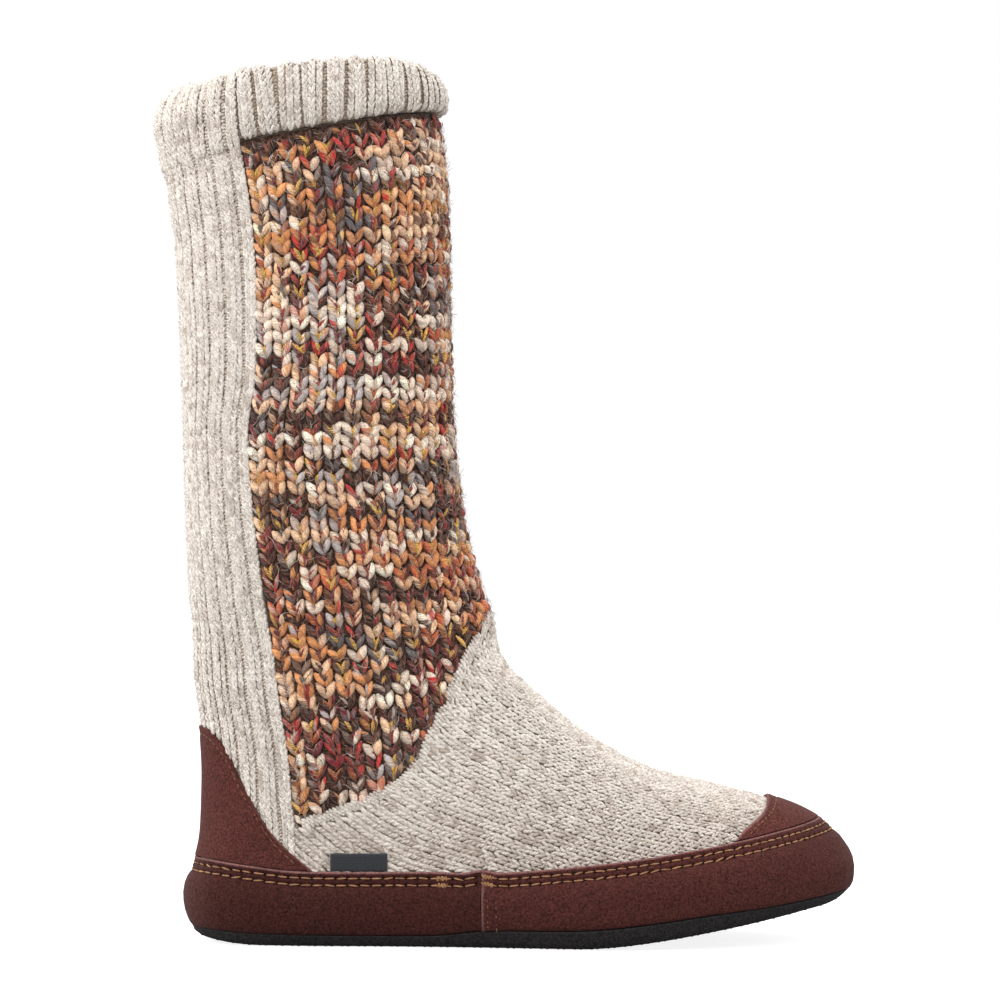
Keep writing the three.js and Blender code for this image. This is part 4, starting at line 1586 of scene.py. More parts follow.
def make_chunky_stitches():
    """The heavy panel's stitches and their thin strand, in dyes that run on along each row."""
    knit = bpy.context.scene.slouch_boot_knit
    rng = np.random.default_rng(5)
    half_wales = knit.chunky_wales / 2
    shape = {"Length": knit.chunky_leg, "Thickness": knit.chunky_thick, **CHUNKY_YARN}
    for side, name in ((-1, "outer"), (1, "inner")):
        columns = np.arange(int(half_wales) + (1 if side < 0 else 0))
        levels = leg_rows(knit.chunky_row / MM)
        at, down, out = leg_wales(side, levels, (columns + 0.5) / half_wales, "panel")
        across = unit(np.cross(out, down))
        drifts = DRIFTS if side < 0 else ()
        picks = dyed(at, DYES, 0.6, drifts, rng)
        seconds = dyed(at, DYES, 0.4, drifts, rng)
        thins = dyed(at, BINDERS, 0.35, (), rng)
        # The top row, under the cuff's lip, is all dark brown: partly a dark run of the yarn, partly
        # painted shade under the cuff.
        picks[0] = seconds[0] = list(DYES).index("brown")
        at = waver(at, across, 20.0, 1.4, side * 7.0)
        at = waver(at, down, 9.0, 1.0, side * 3.0)
        legs, binders = Chart(), Chart()
        for k in columns:
            shown = panel_kept(at[:, k])
            ways = [grid[shown, k] for grid in (down, out, across)]
            inks = [grid[shown, k] for grid in (picks, seconds, thins)]
            chunky_legs(legs, binders, at[shown, k], ways, inks, rng)
        yarns = (
            ("chunky_knit_", legs, shared_material("space_dyed_yarn", chunky_yarn), 6, 4),
            ("chunky_binder_", binders, shared_material("binder_yarn", binder_yarn), 4, 3),
        )
        for label, chart, material, sides, segments in yarns:
            grow(label + name, chart, material, "chunky_knit", Sides=sides, Segments=segments, **shape)


CHUNKY_FUZZ = ((66, 46, 42), (66, 46, 42), (120, 90, 76), (222, 204, 190), (176, 152, 140), (160, 94, 66))
OATMEAL_FUZZ = ((226, 218, 208), (226, 218, 208), (190, 176, 160), (150, 132, 114))
CHUNKY_HAIRS, OATMEAL_HAIRS = 9600, 2600  # how many stand on each fabric
FUZZ_GRID = (300, 420)  # rows and turns of the form that hairs may stand on
FUZZ_HAIR = {"Thickness": 0.15 * MM, "Bow": 0.001, "Arch": 0.0005, "Tip": 0.4, "Sides": 3, "Segments": 2}


def fuzz(name, slot, shades, seed, count, inside, lift, reach):
    """Loose hairs of a fabric, where "inside" is true of the skin's points. They stand within the two
    heights of "lift" off it, and are about "reach" long."""
    rng = np.random.default_rng(seed)
    rows, turns = FUZZ_GRID
    points, normals = sheet(np.linspace(0.3, LAST_ROW - 0.8, rows), np.arange(turns) / turns)
    steps = np.linalg.norm(np.diff(points, axis=0, append=points[-1:]), axis=-1)
    points, normals = points.reshape(-1, 3), normals.reshape(-1, 3)
    chance = np.where(inside(points), steps.ravel() + 1e-9, 0)
    picked = rng.choice(len(points), count, replace=False, p=chance / chance.sum())
    spots, facing = points[picked], normals[picked]
    loose = unit(rng.normal(0, 1, (count, 3)))
    along = unit(np.cross(facing, loose) + facing * rng.normal(0, 0.35, (count, 1)))
    shade = np.array([srgb(*each) for each in shades])[rng.integers(0, len(shades), count)]
    size = rng.uniform(0.6, 1.4, (count, 3))
    out = unit(facing - along * (facing * along).sum(1, keepdims=True))
    spots = spots + facing * rng.uniform(*lift, (count, 1))
    chart = Chart()
    chart.put(spots, along, out, size, rng.integers(0, 2, count), shade, shade)
    grow(name, chart, shared_material("loose_fibre", loose_fibre), slot, Length=reach * MM, **FUZZ_HAIR)


def on_oatmeal(points):
    return (back_kept(points) | foot_kept(points)) & (above_line(points, BAND_TOP) > 1)


def on_chunky(points):
    return (in_panel(points) > 1) & (below_collar(points) > 2)


def make_fuzz():
    """Loose hairs of the heavy yarn and of the oatmeal yarn."""
    fuzz("chunky_fuzz", "chunky_knit", CHUNKY_FUZZ, 47, CHUNKY_HAIRS, on_chunky, (0.8, 2.3), 4.2)
    fuzz("oatmeal_fuzz", "oatmeal_knit", OATMEAL_FUZZ, 53, OATMEAL_HAIRS, on_oatmeal, (0.3, 1.1), 2.6)


# ---- cuff --------------------------------------------------------------------------------------------


class CuffRing:
    """The collar as a ring that can be walked by length, with the cuff's outline across it."""

    def __init__(self):
        self.turn = np.linspace(0, 0.5, 241)
        points = on_form(COLLAR_ROW, self.turn)
        self.run = run_along(points)
        self.seam = self.run[np.argmax(points[:, 0] > seam_x(points[:, 2]))]
        self.half_length = self.run[-1]
        self.whole = 2 * self.half_length
        self.profile = smooth(CUFF_PROFILE, 6)

    def turn_at(self, run):
        """Turn at a length round the ring, from the centre back towards the inner side."""
        run = np.mod(run, self.whole)
        mirrored = run > self.half_length
        turn = np.interp(np.where(mirrored, self.whole - run, run), self.run, self.turn)
        return np.where(mirrored, 1 - turn, turn)

    def seat(self, run, share):
        """Places of the outline at "share" from its inner foot over the top to its outer foot."""
        turn = self.turn_at(run)
        outward = flattened(normal_on_form(COLLAR_ROW, turn))
        at = share * (len(self.profile) - 1)
        out_by, up_by = (np.interp(at, np.arange(len(self.profile)), column) for column in self.profile.T)
        backness = 0.5 + 0.5 * np.cos(turn * 2 * np.pi)
        merge = ease((backness - 0.6) / 0.3)
        frontness = np.exp(-(((turn - 0.5) / 0.105) ** 2))
        flush = lerp(1, 0.12 + 0.88 * ease(up_by / 0.75), merge)
        out_by = np.where(out_by > 0, out_by * flush, out_by)
        lean_in = CUFF_LEAN_BACK * merge + CUFF_LEAN_FRONT * frontness
        out_by = out_by - lean_in * np.maximum(up_by, 0) ** 3
        height = lerp(CUFF_FRONT, CUFF_BACK, backness) + CUFF_CROWN
        height = height - (CUFF_DROP_BACK + CUFF_CROWN) * merge - CUFF_DROP_FRONT * frontness
        points = on_form(COLLAR_ROW, turn) + outward * out_by[..., None]
        points[..., 2] += outward[..., 0] * out_by * COLLAR_SLOPE
        points[..., 2] += up_by * height
        return points

    def slant(self, run, share):
        """How far aside a rib stands at a share of its way, over the foot of its outer side."""
        signed = np.remainder(run + self.half_length, self.whole) - self.half_length
        ahead = np.abs(signed)
        part = ahead / self.half_length
        lean = 8 * np.exp(-(((ahead - self.seam - 9) / 11) ** 2)) + 3 * ease((part - 0.72) / 0.16)
        lean = lean * ease((1 - part) / 0.12) * np.where(signed < 0, 1, -1)
        wander = 0.9 * np.sin(run * 0.17 + 2.2 * share) + 0.5 * np.sin(run * 0.41 + 1.0)
        return (lean + wander) * (1 - share) + 0.35 * np.sin(run * 0.6 + 5 * share)

    def columns(self, ribs_in_front):
        """Lengths round the ring of every column, and its kind: 0 for purl, 1 to 3 across a rib."""
        places, kinds = rib_columns(BACK_RIBS)
        back = places / BACK_RIBS * self.seam
        start, end = self.seam + 0.6, self.whole - self.seam - 0.6
        front, front_kinds = rib_columns(ribs_in_front + 0.1)
        front = start + front / ribs_in_front * (end - start)
        return np.concatenate((back, -back[1:], front)), np.concatenate((kinds, kinds[1:], front_kinds))

    def frame_at(self, run, share):
        """Places with their downward, outward and sideways directions."""
        beside = unit(self.seat(run + 0.5, share) - self.seat(run - 0.5, share))
        down = unit(self.seat(run, np.minimum(share + 0.01, 1)) - self.seat(run, share - 0.01))
        return self.seat(run, share), down, unit(np.cross(beside, down)), beside


CUFF_COUNTS = (330, 22)  # points of its cloth round the ring and across its roll
CUFF_CROWN = 1.0  # extra height of the cuff's rim between its front and its back
CUFF_WIDER = 1.08  # width of its wales against those of the ribbed back
CUFF_LEAN_BACK, CUFF_LEAN_FRONT = 4.2, 3.4  # how far the rim leans in
CUFF_DROP_BACK, CUFF_DROP_FRONT = 1.6, 6.0  # how much lower the rim lies


def cuff_cloth(ring, columns, kinds):
    """The rolled cloth under the cuff's ribs, which rises and sinks with them."""
    around, across = CUFF_COUNTS
    run = np.arange(around) / around * ring.whole
    share = np.arange(across) / (across - 1)
    run, share = np.broadcast_arrays(run[:, None], share[None, :])
    _, _, out, _ = ring.frame_at(run, np.clip(share, 0.02, 0.98))
    places = np.mod(columns, ring.whole)
    order = np.argsort(places)
    back, front = (np.array(heights)[kinds] for heights in (CUFF_BACK_HEIGHTS, CUFF_RIB_HEIGHTS))
    heights = np.where(np.abs(columns) < ring.seam, back, front)
    stand = np.interp(run - ring.slant(run, share), places[order], heights[order], period=ring.whole)
    sunk = (0.4 - stand * 0.95) * ease((share - 0.1) / 0.2) + 0.18
    points = (ring.seat(run, share) - out * sunk[..., None]).reshape(-1, 3)
    material = shared_material("shaded_oatmeal", oatmeal_backing)
    mesh = solid_mesh("cuff_backing", points, tube_faces(around, across, True), material)
    add_piece("cuff_backing", mesh, ("cuff",))


def cuff_column(chart, ring, run, kind, row, rng):
    """One column of the cuff's ribs, from inside the rim over the top to the cuff's outer foot. Behind, it
    runs on into the ribbed back; in front, it tucks under."""
    fine = np.linspace(0.2, 1, 160)
    steps = run_along(ring.seat(run + ring.slant(run, fine), fine))
    back = abs(math.remainder(run, ring.whole)) < ring.seam
    at = np.arange(steps[-1] - (0 if back else 0.5 * row), row / 3, -row)[::-1]
    share = np.interp(at, steps, fine)
    spots, down, out, beside = ring.frame_at(run + ring.slant(run, share), share)
    if back:
        spots = np.vstack((spots, spots[-1] + down[-1] * row / 2 - out[-1] * 0.35))
        down, out, beside = (np.vstack((way, way[-1])) for way in (down, out, beside))
    else:
        from_last = len(spots) - 1 - np.arange(len(spots))
        tucked = ease(1 - from_last / 2)[:, None]
        spots = spots - out * 0.3 * tucked
        down = unit(down - out * 0.35 * tucked)
    lift = (CUFF_BACK_HEIGHTS if back else CUFF_RIB_HEIGHTS)[kind] - 0.1
    if kind:
        fine_legs(chart, spots, down, out, WALE_WIDTHS[kind] * (1 if back else CUFF_WIDER), rng, lift)
    else:
        purl_bumps(chart, spots, beside, out, rng, lift, row, BACK_GROOVE_SHADE if back else CUFF_GROOVE_SHADE)


def make_cuff():
    """The doubled cuff: its rolled cloth, and the ribs round it."""
    knit = bpy.context.scene.slouch_boot_knit
    row = knit.rib_row / MM
    ring = CuffRing()
    columns, kinds = ring.columns(knit.cuff_ribs)
    cuff_cloth(ring, columns, kinds)
    rng = np.random.default_rng(31)
    charts = {True: Chart(), False: Chart()}
    for run, kind in zip(columns, kinds):
        outer = math.remainder(run, ring.whole) < 0
        cuff_column(charts[outer], ring, run, kind, row, rng)
    for outer, name in ((True, "cuff_rib_outer"), (False, "cuff_rib_inner")):
        oatmeal(name, charts[outer], row, CUFF_YARN * MM)


# ---- suede, rubber and footbed -------------------------------------------------------------------------

REAR_CENTRE = np.array((45.0, 0.0))
FRONT_CENTRE = np.array((205.0, 2.5))


def rank(values, table):
    """Fractional places of values in a rising table, short of its last entry."""
    return np.clip(np.interp(values, table, np.arange(len(table))), 0, len(table) - 1.001)


class Plan:
    """The foot's side, by the length round the sole and the height. Lengths start at the centre back and
    go round by the inner side; rays spread evenly from the foot's middle line find the places."""

    quarter = 180
    heights = np.linspace(1, 55, 28)

    def __init__(self):
        way = FRONT_CENTRE - REAR_CENTRE
        lead = math.degrees(math.atan2(way[1], way[0]))
        sweeps = (
            (REAR_CENTRE, REAR_CENTRE, 180, 90),
            (REAR_CENTRE, FRONT_CENTRE, 90, 90),
            (FRONT_CENTRE, FRONT_CENTRE, 90, -90),
            (FRONT_CENTRE, REAR_CENTRE, -90, -90),
            (REAR_CENTRE, REAR_CENTRE, -90, -180),
        )
        share = np.arange(self.quarter) / self.quarter
        self.starts = np.vstack([lerp(a, b, share[:, None]) for a, b, _, _ in sweeps] + [REAR_CENTRE])
        angles = np.concatenate([lerp(first, last, share) for _, _, first, last in sweeps] + [[-180]])
        angles = np.radians(angles + lead)
        ways = [(math.cos(angle), math.sin(angle), 0) for angle in angles]
        self.table = np.array([
            [np.concatenate(SKIN.hit((*start, z), way)) for z in self.heights]
            for start, way in zip(self.starts, ways)
        ])
        outline = self.table[:, 10, :2]
        self.run = run_along(outline)
        self.length = self.run[-1]
        self.x = outline[:, 0]

    def run_at_x(self, x, inner):
        """Length round the sole where its outline passes X on the inner or the outer side."""
        front = np.argmax(self.x)
        half = slice(0, front) if inner else slice(len(self.x) - 1, front, -1)
        return float(np.interp(x, self.x[half], self.run[half]))

    def at(self, run, heights):
        """Places and normals at lengths round the sole; "heights" gives their height from their X."""
        run = np.mod(run, self.length)
        i = rank(run, self.run)
        x = np.interp(run, self.run, self.x)
        for _ in range(3):
            z = heights(x)
            whole = np.broadcast_to(i, z.shape)
            j = rank(z, self.heights)
            a, b = whole.astype(int), j.astype(int)
            s, t = (whole - a)[..., None], (j - b)[..., None]
            low = lerp(self.table[a, b], self.table[a + 1, b], s)
            high = lerp(self.table[a, b + 1], self.table[a + 1, b + 1], s)
            found = lerp(low, high, t)
            x = found[..., 0]
        points = found[..., :3].copy()
        points[..., 2] = z
        return points, unit(found[..., 3:])


# Distance from the knit to the foxing's outer face, by distance below its top edge.
BAND_TOP_PROFILE = np.array(
    ((0, 1.0), (0.12, 1.5), (0.45, 1.75), (1.2, 1.7), (2.3, 1.35), (3.6, 1.8), (4.9, 1.4), (6.6, 2.2))
)
TOE_FLAT = 1.6  # how much the foxing is flattened over the front of the toe
LAP_RISE, LAP_REACH = 1.3, 4.5  # how high and how far the foxing's top edge humps over the lap


def band_offset(points, top):
    """Distance from the knit to the foxing's outer face: rounded and stitched down along its top edge,
    bulging half way down and turned under at the sole."""
    below = top - points[..., 2]
    down = np.clip(below / (top - height_at("sole", points[..., 0])), 0, 1)
    rising = down < BAND_BELLY_AT
    away = np.where(rising, 1 - down / BAND_BELLY_AT, (down - BAND_BELLY_AT) / (1 - BAND_BELLY_AT))
    body = lerp(BAND_BELLY, np.where(rising, BAND_EDGE, BAND_TUCK), away**2)
    stitched = np.interp(below, *BAND_TOP_PROFILE.T)
    body = lerp(stitched, body, ease((below - 5.6) / 4))
    toe = ease((points[..., 0] - 226) / 18) * np.exp(-(((points[..., 2] - 36.0) / 5.0) ** 2))
    return body - TOE_FLAT * toe + uneven(points, 16.0, 0.35, 3.0) + uneven(points, 5.0, 0.14, 9.0)


HIDE_UNEVEN = (14.0, 0.22, 5.0)  # size, depth and seed of the overlays' unevenness


def uneven(points, size, depth, seed):
    """Gentle unevenness of hand-lasted hide."""
    return noise_over(points / size, (seed,) * 3) * depth


@functools.cache
def plan():
    """The foot's side, traced on its first use."""
    return Plan()


# Levels of the foxing's faces, from the sole up: each is a share of the way to a distance below its top.
BAND_BELOW = np.array(
    [6.6] * 10 + [5.9, 5.4, 5, 4.6, 4.1, 3.6, 3.2, 2.8, 2.4, 2, 1.5, 1, 0.6, 0.3, 0.1, 0]
)
BAND_SHARES = np.array([0, 0.03, 0.08, 0.18, 0.32, 0.48, 0.64, 0.8, 0.92] + [1.0] * 17)
BAND_INNER = (-1, 15, 8, 0)  # levels that its inner face keeps
STATION = 2.0  # from one station to the next round the sole
STITCH_PARTS = 6  # stations of the foxing to one stitch
RUN_CLEAR = 0.3  # what each length of foxing gives up at its ends


class Foxing:
    """One length of the suede band: its run round the sole, its stations and its needle holes. Where its
    "lap" is above 0 it stands that much prouder at its ends, over the other length."""

    def __init__(self, start, end, lap, pitch):
        self.over, self.lap = lap > 0, lap
        clear = 0 if self.over else RUN_CLEAR
        self.start, self.end = start + clear, end - clear
        stitches = round((self.end - self.start) / pitch)
        self.run = np.linspace(self.start, self.end, stitches * STITCH_PARTS + 1)
        self.holes = self.run[STITCH_PARTS // 2 :: STITCH_PARTS]
        self.pitch = self.holes[1] - self.holes[0]

    def from_end(self, run):
        return np.minimum(run - self.start, self.end - run)

    def top(self, x, run):
        """Height of the top edge, which humps over the laps."""
        return height_at("band", x) + LAP_RISE * np.exp(-((self.from_end(run) / LAP_REACH) ** 2))

    def face(self, run, heights):
        """Places on the band's outer face before the needle dents it, and the knit behind with its normals.
        "heights" gives a height from an X and the top there."""
        back, normals = plan().at(run, lambda x: heights(x, self.top(x, run)))
        proud = band_offset(back, self.top(back[..., 0], run))
        proud = proud + self.lap * (1 - ease(self.from_end(run) / 9))
        return back + normals * np.maximum(proud, SEAM + 0.6)[..., None], back, normals


def needle_dents(band, run, below, rows):
    """How near each place is to a needle hole, from 0 to 1."""
    beside = (run - band.holes[0]) / band.pitch
    beside = np.abs(beside - np.round(beside)) * band.pitch
    return np.exp(-((beside / 0.62) ** 2)) * sum(np.exp(-(((below - row) / 0.5) ** 2)) for row in rows)


FOXING_DYE_AND_SHADE = {"foxing_front": 0.32, "foxing_rear": 0.232}  # how light each length is drawn: its dye, with painted shade on the low band that faces down, deepest on the rear length
DENT_DEPTH = 0.75  # how far a needle hole pulls the hide in
TUCKED_IN = np.array(((0.9,), (0.25,)))  # how far the two lowest levels turn in over the sole
LAP_SEAMS = (2.5, 5.6)  # seams down each lap, from its end
TACK_FROM_END = {True: 2.2, False: 15.0}  # bar tacks, on the lapping length and the other
HEEL_PAINTED_LIGHT = 0.13  # how far the nap round the back of the heel is lightened towards the cut edge's colour: painted light where the heel faces the light


def foxing_mesh(name, band, rows):
    """One length of the band as a closed tube of stations, dented by its needle holes."""
    run = np.broadcast_to(band.run[:, None], (len(band.run), len(BAND_BELOW)))
    outside, back, normals = band.face(
        run, lambda x, top: lerp(height_at("sole", x) + SEAM, top - BAND_BELOW, BAND_SHARES)
    )
    below = band.top(back[..., 0], run) - back[..., 2]
    dents = needle_dents(band, run, below, rows)
    outside = outside - normals * (DENT_DEPTH * dents)[..., None]
    outside[:, :2] -= normals[:, :2] * TUCKED_IN
    from_end = band.from_end(run)
    edge = np.clip(1.5 - below / 0.6, 0, 1)
    if band.over:
        lip = round_edge(from_end + 0.12, 0.6)[..., None]
        outside = lerp(back + normals * (SEAM + 1.7), outside, lip)
        edge = np.maximum(edge, 1 - ease((from_end - 0.35) / 0.6))
    # Painted light: the back of the heel is drawn lighter, in the cut edge's colour.
    edge = np.maximum(edge, HEEL_PAINTED_LIGHT * (1 - ease((outside[..., 0] + 1) / 17)))
    inside = back + normals * SEAM
    ring = np.concatenate((outside, inside[:, BAND_INNER]), axis=1)
    count, across = ring.shape[:2]
    faces = [face[::-1] for face in tube_faces(count, across, False)]
    faces.append(list(range(across)))
    faces.append(list(range((count - 1) * across, count * across))[::-1])
    blank = np.zeros((count, len(BAND_INNER)))
    edge, hole = (np.concatenate((mask, blank), 1).ravel() for mask in (edge, np.clip(dents * 2.0, 0, 1)))
    material = suede(name + "_hide", FOXING_DYE_AND_SHADE[name])
    return solid_mesh(name, ring.reshape(-1, 3), faces, material, raw_edge=edge, hole=hole)


def foxing_stitches(chart, band, rows, rng):
    """The rows of stitches along a length of the band, the seams down its laps and its bar tacks."""
    for row in rows:
        spots, _, facing = band.face(band.holes, lambda x, top: top - row)
        dashes(chart, spots, facing, rng, 1.0, 0.2)
    if band.over:
        for column in LAP_SEAMS:
            for end in (band.start + column, band.end - column):
                below_top = np.arange(7.2, 24, 2.5)
                spots, _, facing = band.face(np.full(len(below_top), end), lambda x, top: top - below_top)
                dashes(chart, spots, facing, rng, 0.55, -0.12)
    far = TACK_FROM_END[band.over]
    for middle in (band.start + far, band.end - far):
        for row in rows:
            bar_tack(chart, band, middle, row, rng)


def make_foxing():
    """The suede band that wraps the foot, in a front and a rear length; the front one laps over. Its two
    rows of topstitching, the lap's seams and the bar tacks go with it."""
    trim = bpy.context.scene.slouch_boot_trim
    rows = (trim.first_row / MM, trim.second_row / MM)
    pitch = trim.stitch_pitch / MM
    inner, outer = (plan().run_at_x(BAND_SEAM_X, side) for side in (True, False))
    chart = Chart()
    rng = np.random.default_rng(61)
    bands = (
        ("foxing_front", Foxing(inner, outer, 0.8, pitch * 0.95)),
        ("foxing_rear", Foxing(outer, plan().length + inner, -0.1, pitch * 1.05)),
    )
    for name, band in bands:
        add_piece(name + "_suede", foxing_mesh(name, band, rows), (name,))
        foxing_stitches(chart, band, rows, rng)
    sew(chart, "foxing_topstitch", trim)


def dashes(chart, holes, facing, rng, scale=1.0, lift=0.15, dull=1.0):
    """One thread from each needle hole to the next, sinking into both."""
    step = np.diff(holes, axis=0)
    reach = np.linalg.norm(step, axis=1)
    middle = (holes[1:] + holes[:-1]) / 2 + facing[1:] * lift
    along = unit(step + rng.normal(0, 0.1, step.shape) * reach[:, None])
    tint, ply = (shade * dull for shade in thread_shades(rng, len(middle)))
    pitch = bpy.context.scene.slouch_boot_trim.stitch_pitch / MM
    size = stretched(reach / pitch * rng.uniform(0.95, 1.06, len(reach)), scale, scale)
    chart.put(middle, along, unit(facing[1:] + facing[:-1]), size, 0, tint, ply)


def stretched(lengths, width, height):
    """Sizes of yarns of the given lengths, all as wide and high as one another."""
    return np.column_stack((np.full(len(lengths), width), lengths, np.full(len(lengths), height)))


def thread_shades(rng, count):
    tint = np.clip(shade_of("thread") * (1 + rng.normal(0, 0.12, (count, 1))), 0, 1)
    return tint, tint * 0.6


def bar_tack(chart, band, middle, row, rng):
    """A short dense bar of cross stitches over one row."""
    run = middle + np.linspace(-1.7, 1.7, 8)
    spots, _, facing = band.face(run, lambda x, top: top - row + rng.normal(0, 0.12, len(run)))
    along = unit(np.gradient(spots, axis=0))
    turned = unit(np.cross(facing, along) + along * np.tile((0.35, -0.35), 4)[:, None])
    tint, ply = thread_shades(rng, len(run))
    chart.put(spots + facing * 0.25, turned, facing, (0.95, 0.62, 0.95), 0, tint, ply)


def sew(chart, name, trim):
    """A piece of topstitching from a chart of dashes."""
    shape = {"Length": (trim.stitch_length + trim.stitch_pitch) / 2, "Thickness": trim.thread_thick}
    shape |= {"Bow": 0.0, "Arch": 0.0003, "Tip": 0.5, "Sides": 5, "Segments": 4}
    grow(name, chart, shared_material("topstitch_yarn", thread_yarn), "tan_thread", **shape)


def traced(ways, start, onto):
    """A line over the skin: rays in the given ways, each moved by "onto" until it meets the line."""
    found = []
    for way in ways:
        origin = start
        for _ in range(6):
            hit = SKIN.hit(origin, way)
            origin = onto(hit[0])
        found.append(hit)
    return np.array([spot for spot, _ in found]), np.array([normal for _, normal in found])


COUNTER_INSET, TOE_CAP_INSET = 2.6, 3.6  # from each overlay's edge to its row of stitches
COUNTER_MIDDLE, TOE_CAP_MIDDLE = (52, 0, 50), (214, 2.5, 25)  # where the rays to each row start


def counter_row():
    """Where the row of stitches on the heel counter runs, over the skin."""
    turn = np.radians(np.linspace(92, 268, 420))
    ways = np.column_stack((np.cos(turn), np.sin(turn), np.zeros(len(turn))))
    x, y, _ = COUNTER_MIDDLE

    def onto_row(spot):
        return x, y, np.interp(spot[0], COUNTER_LINE[:, 0], COUNTER_LINE[:, 1]) - COUNTER_INSET

    return traced(ways, COUNTER_MIDDLE, onto_row)


def toe_cap_row():
    """Where the row of stitches on the toe cap runs, over the skin."""
    turn = np.radians(np.linspace(4, 176, 300))
    ways = np.column_stack((np.zeros(len(turn)), np.cos(turn), np.sin(turn)))
    _, y, z = TOE_CAP_MIDDLE

    def onto_row(spot):
        return np.interp(spot[2], TOE_CAP_LINE[:, 1], TOE_CAP_LINE[:, 0]) + TOE_CAP_INSET, y, z

    return traced(ways, TOE_CAP_MIDDLE, onto_row)


def make_overlay(chart, rng, name, grid, region, line, facing, pitch, inset, depth):
    """One suede overlay, sewn down along a line over the skin. "region" is how far inside its edge a
    place lies, and "grid" is a sheet of the form that covers it."""
    bm = grid_bmesh(*grid, closed=False)
    cut(bm, lambda points: above_line(points, BAND_TOP) - SEAM, (0.0, 0.35, 1.0))
    cut(bm, region, (0.0, 0.15, 0.5, 1.1))
    shown = above_line(line, BAND_TOP) > 0.8
    line, facing = line[shown], facing[shown]
    run = run_along(line)
    at = np.arange(pitch / 2, run[-1], pitch)
    holes, outward = at_run(at, run, line), unit(at_run(at, run, facing))

    def to_hole(points):
        return ((points[:, None] - holes[None]) ** 2).sum(-1).min(1)

    def thick(points):
        inward = region(points)
        lip = round_edge(inward + 0.03, 0.7)
        pull = 0.3 * np.exp(-(((inward - inset) / 0.9) ** 2)) + 0.45 * np.exp(-to_hole(points) / 0.35)
        return SEAM + SUEDE * lerp(0.45, 1, lip) - pull + uneven(points, *HIDE_UNEVEN)

    points, faces = shell_from(bm, thick, SEAM)
    half = len(points) // 2
    edge = 0.8 * np.clip(1 - region(points) / 0.6, 0, 1)
    edge[half:] = 0
    hole = np.clip((np.exp(-to_hole(points[:half]) / 2.6) - 0.45) * 3, 0, 1)
    hole = np.concatenate((hole, np.zeros(len(points) - half)))
    mesh = solid_mesh(name, points, faces, suede(name + "_hide", depth), raw_edge=edge, hole=hole)
    add_piece(name + "_suede", mesh, (name,))
    raised = holes + outward * (SEAM + SUEDE - 0.3 + uneven(holes, *HIDE_UNEVEN))[:, None]
    dashes(chart, raised, outward, rng, 0.7, 0.12, 0.62)


def make_counter_and_toe_cap():
    """The suede heel counter and toe cap, sewn over the knit down to the foxing."""
    chart = Chart()
    rng = np.random.default_rng(67)
    grid = sheet(np.linspace(7.5, 16.5, 150), np.linspace(-0.32, 0.32, 190))
    # The counter is drawn darker than the toe cap: partly its dye, partly painted shade that keeps it
    # darker than the lamps on its side leave it.
    made = {"pitch": 2.9, "inset": COUNTER_INSET, "depth": 0.405}
    make_overlay(chart, rng, "heel_counter", grid, below_counter_edge, *counter_row(), **made)
    grid = sheet(np.linspace(0.02, 5.4, 90), np.linspace(0.16, 0.84, 150))
    made = {"pitch": 2.6, "inset": TOE_CAP_INSET, "depth": 0.45}
    make_overlay(chart, rng, "toe_cap", grid, toe_side, *toe_cap_row(), **made)
    sew(chart, "overlay_topstitch", bpy.context.scene.slouch_boot_trim)


def below_counter_edge(points):
    """Signed distance into the heel counter, down from its edge."""
    return -above_line(points, COUNTER_LINE)


def toe_side(points):
    """Signed distance into the toe cap, forward of its edge."""
    flat = side_view(points)
    edge_x = np.interp(flat[..., 1], TOE_CAP_LINE[:, 1], TOE_CAP_LINE[:, 0])
    return np.sign(flat[..., 0] - edge_x) * distance_to_line(flat, TOE_CAP_LINE)


SLAB_FILLS = (0.0, 0.3, 0.55, 0.75, 0.88, 0.96)  # rings of a slab's flat faces, from its middle line out
SLAB_LEVELS = (0.0, 0.12, 0.3, 0.6, 0.9, 1.0)  # rings up its wall


def sole_edge(run):
    """Places and outward directions round the foot at the outsole's top, at lengths round the sole."""
    edge, normals = plan().at(run, lambda x: height_at("sole", x) + 0.4)
    return edge, flattened(normals)


